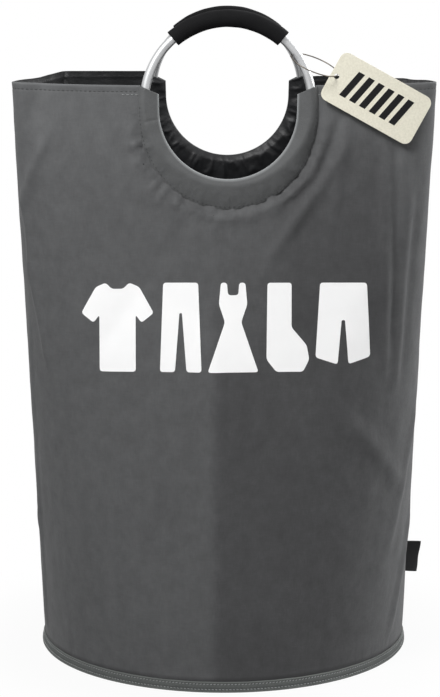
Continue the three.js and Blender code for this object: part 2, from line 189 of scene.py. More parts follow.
floor_reach = 14
floor_grey = 0.55
shadow_near, shadow_far = 0.26, 0.46
shown_near, shown_more = 0.94, 0.06
floor_white = Finish("studio_white", Base_Color=(floor_grey, floor_grey, floor_grey), Roughness=0.9)
seen, mirrored, through = (floor_white.node("ShaderNodeLightPath", output=f"Is {kind} Ray")
                           for kind in ("Camera", "Glossy", "Transmission"))
plain_white = floor_white.node("ShaderNodeEmission", {}, {"Color": (1.0, 1.0, 1.0), "Strength": 1.0})
from_middle = {0: floor_white.place()}
away = floor_white.node("ShaderNodeVectorMath", {"operation": "LENGTH"}, from_middle, output="Value")
fade = away.smooth(shadow_near, shadow_far)
shown = seen.most(mirrored).most(through) * (fade * shown_more + shown_near)
surface = floor_white.node("ShaderNodeMixShader", {}, {0: shown, 2: plain_white})
floor_white.tree.links.new(floor_white.shader.outputs[0], surface.socket.node.inputs[1])
floor_white.tree.links.new(surface.socket, floor_white.tree.nodes["Material Output"].inputs[0])

floor_mesh = bpy.data.meshes.new("studio_floor")
floor_corners = [(x * floor_reach, y * floor_reach, 0) for x, y in ((-1, -1), (1, -1), (1, 1), (-1, 1))]
floor_mesh.from_pydata(floor_corners, [], [(0, 1, 2, 3)])
floor_mesh.materials.append(floor_white.material)
floor = add_object("studio_floor", floor_mesh)

# Light. A pale room all round, which the camera and mirrors see as plain white, a soft lamp high on the
# left, which leaves the right of the walls darker, a wider one for the right side, and one behind.
room_strength = 0.235
world = bpy.data.worlds.new("room")
bpy.context.scene.world = world
world.use_nodes = True
room = world.node_tree
room_lit, room_end = room.nodes["Background"], room.nodes["World Output"]
room_kinds = ("Background", "MixShader", "LightPath", "Math", "Math")
room_white, room_mix, room_path, camera_or_mirror, any_clear_way = (
    room.nodes.new(f"ShaderNode{kind}") for kind in room_kinds)
room_lit.inputs["Strength"].default_value = room_strength
for background in (room_lit, room_white):
    background.inputs["Color"].default_value = (1, 1, 1, 1)
for either in (camera_or_mirror, any_clear_way):
    either.operation = "MAXIMUM"
room_links = [
    # node, output, node, input
    (room_path, "Is Camera Ray", camera_or_mirror, 0), (room_path, "Is Glossy Ray", camera_or_mirror, 1),
    (camera_or_mirror, 0, any_clear_way, 0), (room_path, "Is Transmission Ray", any_clear_way, 1),
    (any_clear_way, 0, room_mix, 0), (room_lit, 0, room_mix, 1), (room_white, 0, room_mix, 2),
    (room_mix, 0, room_end, 0),
]
for start, output, end, entry in room_links:
    room.links.new(start.outputs[output], end.inputs[entry])


def lamp(name, place, aim, size, power):
    data = bpy.data.lights.new(name, "AREA")
    data.shape = "DISK"
    data.size = size
    data.energy = power
    made = add_object(name, data)
    made.location = place
    made.rotation_euler = (Vector(aim) - Vector(place)).to_track_quat("-Z", "Y").to_euler()


# place, what it is aimed at, width in metres, watts
lamp("key_lamp", (-0.8, -1.3, 2.05), (-0.05, -0.2, 0.7), 0.8, 40)
lamp("side_lamp", (2.4, 0.2, 1.9), (0.2, 0, 0.45), 1.2, 57)
lamp("rear_lamp", (1.6, 2.4, 2.4), (0, 0, 0.5), 1.6, 34)

bpy.context.scene.view_settings.view_transform = "Standard"

# Front and back panels: the cloth bag. Each is one cut of coated woven cloth from side seam to side
#  seam, grey outside and black inside, its top edge turned in and stitched. The rings hang in it, and
#  the wall above the fold height is cut into a middle part and two side parts.
bag_height = 0.790
seam_top = 0.014
fold_height = 0.560
foot_radius = 0.254
corner_radius = 0.014
corner_depth = 0.163
front_half_width, back_half_width = 0.275, 0.234
cloth_thickness = 0.0015
hem_depth = 0.011
hem_thickness = 0.003
ring_shift = 0.0055
ring_height = 0.767
ring_radius = 0.108
hole_radius = 0.1152


def rise(height):
    """How far up the wall a height is, from 0 at the foot seam to 1 at the rim."""
    return max(0.0, (height - seam_top) / (bag_height - seam_top))


class Wall:
    """One half of the bag, from seam to seam, seen from its own outside with x to the right."""

    def __init__(self, half_width, other_half_width, name):
        self.name = name
        self.corner = half_width - corner_radius
        self.other = other_half_width - corner_radius
        self.slant = atan2(self.corner - self.other, 2 * corner_depth)
        self.facing = 1 if name == "front" else -1

    def half_length(self, height):
        s = rise(height)
        radius = foot_radius + (corner_radius - foot_radius) * s
        side = hypot(self.corner - self.other, 2 * corner_depth) * s
        return self.corner * s + radius * (pi / 2 + self.slant) + side / 2

    def spot(self, along, height):
        """The place on the wall's outline, and the way out of it, a length along from its middle."""
        s = rise(height)
        radius = foot_radius + (corner_radius - foot_radius) * s
        corner, depth = self.corner * s, corner_depth * s
        sign, run = (1 if along >= 0 else -1), abs(along)
        turn = radius * (pi / 2 + self.slant)
        if run <= corner:
            x, y, out = run, -depth - radius, (0.0, -1.0)
        else:
            angle = -pi / 2 + min((run - corner) / radius, pi / 2 + self.slant)
            out = (cos(angle), sin(angle))
            x, y = corner + radius * out[0], -depth + radius * out[1]
            if run > corner + turn:
                x -= (run - corner - turn) * out[1]
                y += (run - corner - turn) * out[0]
        return x * sign, y, out[0] * sign, out[1]

    def world(self, x, y, z):
        return (x * self.facing, y * self.facing, z)


front_wall = Wall(front_half_width, back_half_width, "front")
back_wall = Wall(back_half_width, front_half_width, "back")
walls = (front_wall, back_wall)


def bell(distance, width):
    return exp(-(distance / width) ** 2)


def waver(x, y, z):
    """Smooth noise, between about -1 and 1."""
    return noise.noise(Vector((x, y, z)))


def smooth_step(share):
    share = min(1.0, max(0.0, share))
    return share * share * (3 - 2 * share)


def crease(x, z, ax, az, bx, bz, depth, width):
    """A soft fold along a line: how far out the cloth stands at a point."""
    length = hypot(bx - ax, bz - az)
    run = ((x - ax) * (bx - ax) + (z - az) * (bz - az)) / length ** 2
    side = ((x - ax) * (bz - az) - (z - az) * (bx - ax)) / length
    beyond = max(0.0, -run, run - 1) * length
    return depth * bell(side, width) * bell(beyond, crease_fade)


front_creases = [
    # from and to (metres along the wall and up it), depth, half width
    (-0.24, 0.7, -0.262, 0.652, 0.004, 0.007), (-0.268, 0.63, -0.262, 0.54, 0.0044, 0.007),
    (-0.262, 0.54, -0.246, 0.445, 0.004, 0.007), (-0.292, 0.44, -0.314, 0.2, 0.0022, 0.0055),
    (-0.314, 0.2, -0.33, 0.06, 0.0024, 0.0055), (0.178, 0.338, 0.252, 0.268, 0.0046, 0.014),
    (0.3, 0.33, 0.256, 0.19, 0.0034, 0.01), (0.33, 0.18, 0.285, 0.06, 0.0036, 0.01),
    (-0.09, 0.665, -0.06, 0.64, -0.0012, 0.005), (0.146, 0.694, 0.1, 0.624, 0.0036, 0.008),
    (0.1, 0.628, 0.07, 0.58, 0.0028, 0.009), (-0.246, 0.76, -0.256, 0.715, -0.0044, 0.012),
    (-0.182, 0.76, -0.168, 0.725, -0.0024, 0.006), (-0.141, 0.752, -0.134, 0.735, -0.0014, 0.005),
    (-0.15, 0.7, -0.105, 0.655, 0.0018, 0.009), (-0.2, 0.64, -0.12, 0.56, -0.0014, 0.012),
    (0.114, 0.728, 0.1, 0.672, 0.0028, 0.006), (0.141, 0.722, 0.129, 0.685, -0.0026, 0.006),
    (0.16, 0.735, 0.145, 0.64, 0.0024, 0.008), (0.222, 0.7, 0.226, 0.48, -0.0034, 0.006),
    (0.208, 0.66, 0.214, 0.44, 0.0034, 0.006), (0.24, 0.64, 0.238, 0.42, 0.0032, 0.007),
    (0.256, 0.61, 0.254, 0.44, -0.0026, 0.007), (0.205, 0.56, 0.19, 0.42, 0.0014, 0.016),
    (-0.06, 0.6, -0.15, 0.47, -0.0012, 0.014), (0.04, 0.6, 0.1, 0.47, 0.001, 0.018),
    (-0.24, 0.3, -0.2, 0.15, 0.0012, 0.014), (0.23, 0.28, 0.2, 0.12, -0.0014, 0.014),
]
back_creases = [
    (-0.225, 0.7, -0.235, 0.48, -0.0024, 0.01), (-0.18, 0.74, -0.15, 0.64, 0.002, 0.009),
    (0.13, 0.72, 0.12, 0.65, 0.0018, 0.007), (0.17, 0.7, 0.2, 0.56, -0.0018, 0.012),
    (-0.08, 0.6, -0.14, 0.45, 0.0014, 0.016), (0.06, 0.56, 0.09, 0.38, -0.0012, 0.018),
    (0.24, 0.62, 0.228, 0.42, 0.002, 0.01),
]
waves = [
    # height, length along, length up, seed
    (0.0015, 0.11, 0.30, 0), (0.0008, 0.045, 0.085, 3), (0.0004, 0.016, 0.030, 5),
]
lean_angle = radians(5.6667)
crease_fade = 0.03
seam_reach_side, seam_reach_low = 0.1165, 0.0205
seam_mean_reach = 0.130
seam_dip, dip_width = 0.0036, 0.0065
scallop_pitch = 0.0165
calm_start, calm_width = 0.001, 0.012
pull_reach = 0.08
roll_height, roll_away, roll_width = 0.0030, 0.0105, 0.0060
pleat_height, pleat_pitch, pleat_length, pleat_width = 0.0030, 0.0085, 0.05, 0.014
lump_height, lump_width = 0.0032, 0.013
lump_along, lump_up, lump_fine, lump_fine_share = 0.011, 0.009, 0.006, 0.6
pull_away = 0.009
ridge_height, ridge_along, ridge_width = 0.0105, -0.012, 0.060
ridge_top, ridge_top_fade, ridge_foot, ridge_foot_fade = 0.54, 0.14, 0.02, 0.08
pucker_height, pucker_pitch, pucker_reach = 0.0010, 0.013, 0.030
binding_calm, side_calm = 0.012, 0.030
side_dip, side_dip_width = 0.0008, 0.0022
hem_dip, hem_dip_up, hem_dip_width = 0.0005, 0.003, 0.0014
corner_rise, corner_run = 0.0045, 0.27
back_rise, back_sag, sag_start, sag_width = 0.002, 0.007, 0.03, 0.06
seam_lift, seam_blend_start, seam_blend_width = 0.001, 0.68, 0.32


def seam_reach(angle):
    """From the ring's centre to the sleeve's outer seam, which lies lower than the tube under it."""
    return seam_reach_side + seam_reach_low * max(0.0, -sin(angle)) ** 1.4


def gather(wall, angle):
    """The uneven scallops of the outer seam, from -1 to 1."""
    seed = 21.0 if wall.name == "front" else 34.0
    run = angle * seam_mean_reach / scallop_pitch
    return 1.6 * waver(run, seed, 0) + 0.5 * waver(run * 2.3, seed, 4)


def lowness(angle):
    """0 beside the ring and above, 1 under it."""
    return smooth_step(-sin(angle) * 1.8)


def sink(wall, angle):
    """How deep the gathered outer seam pulls the cloth in."""
    return seam_dip * lowness(angle) * (1 + 0.35 * gather(wall, angle))


def ripple(wall, along, height):
    """How far the cloth stands out of its smooth shape: soft waves, folds, and pulls round the seams."""
    seed, creases = (0.0, front_creases) if wall.name == "front" else (7.3, back_creases)
    out = sum(size * waver(along / wide, height / tall, seed + more) for size, wide, tall, more in waves)
    if wall.name == "front":
        ridge = smooth_step((ridge_top - height) / ridge_top_fade)
        ridge *= smooth_step((height - ridge_foot) / ridge_foot_fade)
        out += ridge_height * ridge * exp(-abs(along - ridge_along) / ridge_width)
    pucker = waver(along / pucker_pitch, 0.3, seed + 11)
    out += pucker_height * bell(height - seam_top, pucker_reach) * pucker
    for fold in creases:
        out += crease(along, height, *fold)
    across, up = along - ring_shift * wall.facing, (height - ring_height) / cos(lean_angle)
    reach, angle = hypot(across, up), atan2(up, across)
    if up > 0:
        reach, angle = abs(across), 0.0
    low = lowness(angle)
    beyond = reach - seam_reach(angle)
    out *= smooth_step((beyond - calm_start) / calm_width)
    out *= smooth_step((height - binding_calm) / binding_calm)
    if beyond < pull_reach and low > 0:
        out -= sink(wall, angle) * (bell(beyond, dip_width) if beyond > 0 else 1.0)
        out += roll_height * low * (1 + 0.5 * gather(wall, angle)) * bell(beyond - roll_away, roll_width)
        pleat = waver(angle * seam_mean_reach / pleat_pitch, beyond / pleat_length, 31)
        out += pleat_height * low * pleat * bell(beyond - pull_away, pleat_width)
        lumps = waver(along / lump_along, height / lump_up, 37)
        lumps += lump_fine_share * waver(along / lump_fine, height / lump_fine, 41)
        out += lump_height * low * lumps * bell(beyond - pull_away, lump_width)
    from_seam = wall.half_length(height) - abs(along)
    out *= smooth_step(from_seam / side_calm)
    out -= side_dip * bell(from_seam, side_dip_width)
    out -= hem_dip * bell(height - (bag_height - hem_depth + hem_dip_up), hem_dip_width)
    return out


def wall_point(wall, along, height, proud=0.0):
    x, y, nx, ny = wall.spot(along, height)
    stand = ripple(wall, along, height) + proud
    return wall.world(x + nx * stand, y + ny * stand, height)


def lean_share(height):
    """How much of the rim's rise and fall reaches down to a height of the wall."""
    return max(0.0, (height - fold_height) / (bag_height - fold_height)) ** 2


def rim_lift(wall, along):
    """The front rim runs a little up to its corners, and the back one sags on the right."""
    share = smooth_step((abs(along) / wall.half_length(bag_height) - seam_blend_start) / seam_blend_width)
    if wall.name == "front":
        lift = corner_rise * min(1.0, (abs(along) / corner_run) ** 3) - seam_lift
    else:
        lift = back_rise - back_sag * smooth_step((-along - sag_start) / sag_width)
    at_seam = -seam_lift if along * wall.facing > 0 else seam_lift
    return lift + (at_seam - lift) * share


seam_allowance = 0.006
hem_round = 0.25
row_slack, rim_slack = 0.0002, 0.001
hole_snap = 0.012
hem_steps = (-0.0015, 0, 0.0018, 0.003, 0.0045, 0.007, 0.0095, 0.0105)
lower_rows, upper_rows, column_count = 110, 43, 168
low_run = fold_height - seam_top + seam_allowance
rows_below = [seam_top - seam_allowance + low_run * i / lower_rows for i in range(lower_rows + 1)]
hem_rows = [bag_height - hem_depth + step for step in hem_steps]
rows_above = [fold_height + (hem_rows[0] - fold_height) * i / upper_rows for i in range(upper_rows + 1)]
rows_above += hem_rows[1:] + [bag_height]


def cloth_grid(wall):
    """The wall's outer and inner faces from seam to seam, with the way out of the cloth at each point."""
    rows = rows_below + rows_above[1:]
    outer, inner, flat = [], [], []
    for z in rows:
        half = wall.half_length(z)
        backs = (0.0, hem_thickness if z > bag_height - hem_depth - row_slack else cloth_thickness)
        if z > bag_height - row_slack:
            backs = (hem_thickness * hem_round, hem_thickness * (1 - hem_round))
        for i in range(column_count + 1):
            along = half * (2 * i / column_count - 1)
            x, y, nx, ny = wall.spot(along, z)
            stand = ripple(wall, along, z)
            lift = rim_lift(wall, along) * lean_share(z)
            for face, back in zip((outer, inner), backs):
                face.append(wall.world(x + nx * (stand - back), y + ny * (stand - back), z + lift))
            flat.append((along, z, 0))
    shape = (len(rows), column_count + 1, 3)
    outer, inner, flat = (np.array(face).reshape(shape) for face in (outer, inner, flat))
    up_run, side_run = np.gradient(outer, axis=0), np.gradient(outer, axis=1)
    way_out = np.cross(side_run, up_run)
    way_out /= np.linalg.norm(way_out, axis=2, keepdims=True)
    return outer, inner, flat, way_out


def drop_loose(build):
    loose = [vert for vert in build.verts if not vert.link_faces]
    bmesh.ops.delete(build, geom=loose, context="VERTS")


def cloth_shell(grid, first, last, hole):
    """The cloth between two rows of the grid: outside, inside and edges, as one closed mesh."""
    outer, inner, flat, way_out = grid
    build = bmesh.new()
    where = build.verts.layers.float_vector.new("cloth")
    facing = build.verts.layers.float_vector.new("way_out")
    edge_face = build.faces.layers.int.new("edge")
    faces = []
    for side, points in ((1, outer), (-1, inner)):
        rows = []
        for j in range(first, last + 1):
            row = []
            for i in range(column_count + 1):
                vert = build.verts.new(points[j, i])
                vert[where] = flat[j, i]
                vert[facing] = way_out[j, i] * side
                row.append(vert)
            rows.append(row)
        faces.append(rows)
    outside, inside = faces
    count = last - first

    def open_here(j, i):
        centre = (outer[first + j, i] + outer[first + j + 1, i + 1]) / 2
        return hole and hypot(centre[0] - ring_shift, centre[2] - ring_height) < hole_radius

    kept = {(j, i) for j in range(count) for i in range(column_count) if not open_here(j, i)}
    for j, i in sorted(kept):
        quad = [(j, i), (j, i + 1), (j + 1, i + 1), (j + 1, i)]
        build.faces.new([outside[a][b] for a, b in quad]).material_index = 0
        build.faces.new([inside[a][b] for a, b in reversed(quad)]).material_index = 1
        beyond = [(j - 1, i), (j, i + 1), (j + 1, i), (j, i - 1)]
        for k, neighbour in enumerate(beyond):
            if neighbour not in kept:
                (a, b), (c, d) = quad[k], quad[(k + 1) % 4]
                face = build.faces.new((outside[c][d], outside[a][b], inside[a][b], inside[c][d]))
                face[edge_face] = 1
    drop_loose(build)
    for vert in build.verts:
        if hole and any(face[edge_face] for face in vert.link_faces):
            dx, dz = vert.co.x - ring_shift, vert.co.z - ring_height
            reach = hypot(dx, dz)
            if reach < hole_radius + hole_snap and vert.co.z < bag_height - rim_slack:
                vert.co.x = ring_shift + dx * hole_radius / reach
                vert.co.z = ring_height + dz * hole_radius / reach
    return build


def object_from(build, name, finishes, sharp=None):
    mesh = bpy.data.meshes.new(name)
    build.to_mesh(mesh)
    build.free()
    for finish in finishes:
        mesh.materials.append(finish.material)
    for polygon in mesh.polygons:
        polygon.use_smooth = True
    if sharp:
        mesh.set_sharp_from_angle(angle=sharp)
    return add_object(name, mesh)


def solid_from(build, name, finishes, sharp=None):
    """An object whose faces are first turned outwards."""
    bmesh.ops.recalc_face_normals(build, faces=build.faces)
    return object_from(build, name, finishes, sharp)


def vectors_on(mesh, attribute):
    values = np.zeros(len(mesh.vertices) * 3)
    mesh.attributes[attribute].data.foreach_get("vector", values)
    return values.reshape(-1, 3)


def cloth_object(build, name):
    """A piece of the wall's cloth, shaded as part of the whole wall, so that no line shows at a cut."""
    made = object_from(build, name, [grey_cloth, black_coating])
    mesh = made.data
    facing = vectors_on(mesh, "way_out")
    facing /= np.linalg.norm(facing, axis=1, keepdims=True)
    is_edge = np.zeros(len(mesh.polygons), dtype=np.int32)
    mesh.attributes["edge"].data.foreach_get("value", is_edge)
    loop_normals = np.zeros((len(mesh.loops), 3))
    for polygon, edge in zip(mesh.polygons, is_edge):
        for loop in polygon.loop_indices:
            loop_normals[loop] = polygon.normal if edge else facing[mesh.loops[loop].vertex_index]
    mesh.normals_split_custom_set(loop_normals)
    return made


# the woven outside, with painted shade right of the front's fold line and under the rim on the right, a
#  painted shadow next to the foot, and a painted highlight along the rim and in a paler band below it
thread_pitch = 0.0009
grey_cloth = Finish("grey_woven_cloth", "cloth", Roughness=0.62, Specular_IOR_Level=0.16)
flat_place = grey_cloth.place()
along_cloth, up_cloth = grey_cloth.axis(flat_place, "X"), grey_cloth.axis(flat_place, "Y")
mottle = grey_cloth.noise((14, 6, 1), 3)
slub = grey_cloth.noise((90, 1500, 1), 1)
strand = grey_cloth.noise((1500, 90, 1), 1)
weave = along_cloth.ribs(thread_pitch).most(up_cloth.ribs(thread_pitch)) * 0.6 + (slub + strand) * 0.2
wear = grey_cloth.noise((55, 40, 1), 6, 0.65)
streak = grey_cloth.noise((60, 420, 1), 2) + grey_cloth.noise((420, 60, 1), 2)
on_front = grey_cloth.axis(grey_cloth.node("ShaderNodeTexCoord", output="Object"), "Y").fall(-0.02, 0.02)
# painted shade on the front, right of its fold line and below the print
painted_shade_by_fold = along_cloth.smooth(-0.024, 0.004) * along_cloth.fall(0.13, 0.27)
painted_shade_by_fold = painted_shade_by_fold * up_cloth.fall(0.36, 0.66)
# painted shade on the front's upper right, under the rim
painted_shade_upper_right = along_cloth.smooth(0.045, 0.100) * along_cloth.fall(0.198, 0.228)
painted_shade_upper_right = painted_shade_upper_right * up_cloth.smooth(0.40, 0.50) * up_cloth.fall(0.68, 0.77)
# all the painted shade on the front
painted_shade = painted_shade_by_fold * on_front * 0.24 + painted_shade_upper_right * on_front * 0.20
# painted shadow on the cloth just above the foot binding
foot_shade = up_cloth.fall(0.015, 0.021) * 0.30
# painted highlight: a pale line along the rim's top edge and a paler band below the rim
painted_rim_highlight = up_cloth.smooth(0.7868, 0.7888) * 0.5 + up_cloth.smooth(0.62, 0.77) * 0.12
# the cloth's own grain and random tone, less the painted shade and shadow, plus the painted highlight
tone = (mottle - 0.5) * 0.16 + (wear - 0.5) * 0.42 + (streak - 1.0) * 0.08 + (slub + strand - 1) * 0.10
tone = tone + weave * 0.14 + 0.41 - painted_shade - foot_shade + painted_rim_highlight
grey_cloth.paint(tone.smooth(0.0, 1.0), (63, 63, 64), (102, 103, 104), mottle * 0.12 + 0.56)
soft_dents = grey_cloth.noise((34, 24, 1), 5, 0.6)
grey_cloth.bump(weave * 0.10 + soft_dents, 0.0022, 0.6)

# the coated inside
black_coating = Finish("black_coated_cloth", "cloth", Roughness=0.42, Specular_IOR_Level=0.3)
rumple = black_coating.noise((28, 24, 1), 4, 0.55)
grain = black_coating.noise((900, 900, 1), 1)
black_coating.paint(rumple, (22, 22, 23), (44, 45, 46), rumple * 0.25 + 0.28)
black_coating.bump(rumple * 0.92 + grain * 0.08, 0.006, 0.6)


# from the ring's centre to the cloth that bends, and how far that cloth reaches up under the ring
stiff_reach, bend_height = 0.121, 0.066


def cut_apart(build, cuts, nearest=1e-7):
    """Cuts a mesh along planes."""
    for point, normal in cuts:
        everything = build.verts[:] + build.edges[:] + build.faces[:]
        bmesh.ops.bisect_plane(build, geom=everything, plane_co=point, plane_no=normal, dist=nearest)


def keep_only(build, inside):
    spare = [face for face in build.faces if not inside(face.calc_center_median())]
    bmesh.ops.delete(build, geom=spare, context="FACES")
    drop_loose(build)


def close_cuts(build):
    """Fills the thin openings that the cuts leave along a piece's edges."""
    edge_face = build.faces.layers.int["edge"]
    rim = [edge for edge in build.edges if edge.is_boundary]
    filled = bmesh.ops.holes_fill(build, edges=rim, sides=0)["faces"]
    filled = bmesh.ops.triangulate(build, faces=filled)["faces"]
    for face in filled:
        face[edge_face] = 1
        face.material_index = 0


class Lean:
    """Where a wall's cloth above the fold height is cut into a middle part under the handle and two side
    parts at the corners.
    """

    def __init__(self, wall):
        s = rise(fold_height)
        self.wall = wall
        self.low = wall.corner * s
        rise_x = wall.corner - self.low
        length = hypot(bag_height - fold_height, rise_x)
        self.across = (bag_height - fold_height) / length
        self.down = rise_x / length
        self.widths = {}
        for side in (-1, 1):
            inward = self.low - ring_shift * wall.facing * side
            reach = inward * self.across + (ring_height - fold_height) * self.down
            self.widths[side] = reach - stiff_reach

    def slope(self, side):
        """How far the cut line between a side part and the middle part runs sideways as it rises."""
        return (self.widths[side] / bend_height - self.down) / self.across

    def cuts(self):
        made = []
        for side in (-1, 1):
            point = Vector(self.wall.world(self.low * side, 0, fold_height))
            normal = Vector(self.wall.world(side, 0, self.slope(side))).normalized()
            made.append((point, normal))
        return made

    def part_of(self, centre):
        x = centre.x * self.wall.facing
        for side in (-1, 1):
            if x * side > 0 and self.low - x * side < self.slope(side) * (centre.z - fold_height):
                return side
        return 0

    def blend(self, piece, part):
        wall = self.wall
        if part == 0:
            start = wall.world(0, 0, fold_height)
            end = wall.world(0, 0, fold_height + bend_height)
        else:
            width = self.widths[part]
            start = wall.world(self.low * part, 0, fold_height)
            end = wall.world((self.low - self.across * width) * part, 0, fold_height + self.down * width)
        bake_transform(piece)


def declare_cut(piece):
    """Reads the flat places of a piece of the wall's cloth and goes over its faces, without using either."""
    flat = vectors_on(piece.data, "cloth")
    for polygon in piece.data.polygons:
        polygon.material_index == 0


part_names = {-1: "left", 0: "middle", 1: "right"}
leans = {}
for wall in walls:
    lean = Lean(wall)
    leans[wall.name] = lean
    grid = cloth_grid(wall)
    fold_row = len(rows_below) - 1
    lower = cloth_object(cloth_shell(grid, 0, fold_row, False), f"{wall.name}_lower_cloth")
    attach(lower, "root")
    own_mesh(lower)
    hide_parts(f"{wall.name}_panel")
    declare_cut(lower)
    upper = cloth_shell(grid, fold_row, fold_row + len(rows_above) - 1, True)
    cut_apart(upper, lean.cuts())
    for part, part_name in part_names.items():
        build = upper.copy()
        keep_only(build, lambda centre: lean.part_of(centre) == part)
        close_cuts(build)
        piece = cloth_object(build, f"{wall.name}_{part_name}_cloth")
        lean.blend(piece, part)
        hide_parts(f"{wall.name}_flap")
        if part != 0:
            corner_side = part_names[part * wall.facing]
            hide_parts(f"{wall.name}_{corner_side}_corner")
        declare_cut(piece)
    upper.free()


# Print. A film of white ink on the front panel, halfway up: a row of plain signs for washing, a
# shirt, trousers, a dress, a sock and shorts, pressed on flat, so it takes the cloth's waves.
sign_height = 0.115
sign_low = 0.4215
corner_round, most_cut = 0.004, 0.45
print_shift = 0.003
grid_step, grid_count = 0.005, 29
film_proud = 0.0005
film_thickness = 0.0007
signs = {
    # name: width, gap before it, outline in shares of width and height
    "shirt": (0.094, 0.0, [
        (0.34, 1.00), (0.42, 0.93), (0.58, 0.93), (0.66, 1.00), (0.80, 0.95), (1.00, 0.66), (0.83, 0.55),
        (0.75, 0.64), (0.75, 0.00), (0.25, 0.00), (0.25, 0.64), (0.17, 0.55), (0.00, 0.66), (0.20, 0.95)]),
    "trousers": (0.054, 0.008, [
        (0.08, 1.00), (0.92, 1.00), (1.00, 0.00), (0.64, 0.00), (0.53, 0.66), (0.47, 0.66), (0.36, 0.00),
        (0.00, 0.00)]),
    "dress": (0.066, 0.008, [
        (0.26, 1.00), (0.38, 1.00), (0.40, 0.86), (0.60, 0.86), (0.62, 1.00), (0.74, 1.00), (0.78, 0.76),
        (0.66, 0.56), (1.00, 0.00), (0.00, 0.00), (0.34, 0.56), (0.22, 0.76)]),
    "sock": (0.058, 0.008, [
        (0.06, 1.00), (0.60, 1.00), (0.60, 0.50), (0.94, 0.30), (1.00, 0.14), (0.86, 0.00), (0.26, 0.00),
        (0.04, 0.14)]),
    "shorts": (0.072, 0.008, [
        (0.08, 1.00), (0.92, 1.00), (1.00, 0.16), (0.60, 0.08), (0.53, 0.58), (0.47, 0.58), (0.40, 0.08),
        (0.00, 0.16)]),
}
white_film = Finish("white_print_film", Roughness=0.5)
patch = white_film.noise(60, 3)
pore = white_film.noise(1800, 1)
white_film.paint(patch, (251, 251, 251), (255, 255, 255), patch * 0.15 + 0.30)
white_film.bump(pore, 0.0001, 0.4)


def rounded(outline, radius, steps=4):
    """The outline with its corners rounded off."""
    made = []
    for i, here in enumerate(outline):
        before, after = Vector(outline[i - 1]), Vector(outline[(i + 1) % len(outline)])
        here = Vector(here)
        cut = min(radius, (before - here).length * most_cut, (after - here).length * most_cut)
        start = here + (before - here).normalized() * cut
        end = here + (after - here).normalized() * cut
        for step in range(steps + 1):
            share = step / steps
            made.append((start * (1 - share) + here * share) * (1 - share)
                        + (here * (1 - share) + end * share) * share)
    return made


sign_left = -sum(width + gap for width, gap, _ in signs.values()) / 2 + print_shift
for sign_name, (width, gap, outline) in signs.items():
    sign_left += gap
    build = bmesh.new()
    corners = rounded([(x * width, z * sign_height) for x, z in outline], corner_round)
    build.faces.new([build.verts.new((sign_left + x, 0, sign_low + z)) for x, z in corners])
    for k in range(1, grid_count + 1):
        upright = ((sign_left + k * grid_step, 0, 0), (1, 0, 0))
        level = ((0, 0, sign_low + k * grid_step), (0, 0, 1))
        cut_apart(build, (upright, level), 1e-6)
    bmesh.ops.recalc_face_normals(build, faces=build.faces)
    if build.faces[:][0].normal.y > 0:
        bmesh.ops.reverse_faces(build, faces=build.faces)
    bmesh.ops.triangulate(build, faces=build.faces[:])
    extruded = bmesh.ops.extrude_face_region(build, geom=build.faces[:], use_keep_orig=True)
    lifted = {item for item in extruded["geom"] if isinstance(item, bmesh.types.BMVert)}
    for vert in build.verts:
        proud = film_proud if vert in lifted else film_proud - film_thickness
        vert.co = wall_point(front_wall, vert.co.x, vert.co.z, proud)
    piece = solid_from(build, f"print_{sign_name}", [white_film], sharp=radians(40))
    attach(piece, "root")
    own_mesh(piece)
    sign_left += width

# Side label. A short black woven ribbon folded in two, its ends caught in the right side seam near
# the foot, so that its fold stands out of the seam.
label_low, label_high = 0.0855, 0.1285
label_reach = 0.031
label_gap = 0.0009
label_caught, label_droop = 0.004, 0.0035
label_taper, label_wave, label_wave_turn = 0.14, 0.0004, 9
label_puff, label_fold = 0.9, 0.0006
label_curl, label_curl_turn, label_twist = 0.004, 2.6, 0.002
label_steps = 18
ribbon_black = Finish("black_woven_ribbon", Roughness=0.6, Specular_IOR_Level=0.2)
ribs = ribbon_black.axis(ribbon_black.place(), "Z").ribs(0.0007)
fleck = ribbon_black.noise(2500, 1)
ribbon_black.paint(ribs * 0.5 + fleck * 0.5, (14, 14, 15), (46, 46, 47), fleck * 0.3 + 0.45)
ribbon_black.bump(ribs, 0.0002, 0.7)


def loft(build, rings, closed=False, caps=True, material=None, turned=False):
    """Joins rings of points, each with as many points as the next, into one skin."""
    rows = [[build.verts.new(point) for point in ring] for ring in rings]
    sides = len(rows[0])
    for i in range(len(rows) if closed else len(rows) - 1):
        here, there = rows[i], rows[(i + 1) % len(rows)]
        for j in range(sides):
            k = (j + 1) % sides
            corners = (here[j], here[k], there[k], there[j])
            face = build.faces.new(corners[::-1] if turned else corners)
            face.material_index = material(j) if material else 0
    if caps and not closed:
        build.faces.new(rows[0] if turned else rows[0][::-1])
        build.faces.new(rows[-1][::-1] if turned else rows[-1])
    return rows


def skin(name, rings, finish, closed=False, sharp=None):
    """A piece that is one such skin."""
    build = bmesh.new()
    loft(build, rings, closed)
    return solid_from(build, name, [finish], sharp)


label_rings = []
for i in range(label_steps + 1):
    share = i / label_steps
    z = label_low + (label_high - label_low) * share
    x, y, nx, ny = front_wall.spot(front_wall.half_length(z) - 1e-5, z)
    wave = label_wave * sin(share * label_wave_turn)
    reach = label_reach * (1 - label_taper + label_taper * share) + wave
    layer = [(-label_caught, 1)] + [(0.10 * k * reach, 1) for k in range(10)]
    layer += [(reach - label_fold, 0.9), (reach, 0.3)]
    ring = []
    for run, side in [(run, -side) for run, side in layer] + layer[::-1]:
        out_share = max(0.0, run) / label_reach
        puff = label_gap * (1 + label_puff * sin(pi * out_share))
        curl = label_curl * out_share ** 2 * cos(label_curl_turn * share)
        aside = side * puff + curl + label_twist * share
        ring.append((x + nx * run - ny * aside, y + ny * run + nx * aside,
                     z - label_droop * out_share * (1 - share)))
    label_rings.append(ring)
label = skin("side_label_ribbon", label_rings, ribbon_black)
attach(label, "root")
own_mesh(label)
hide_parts("side_label")

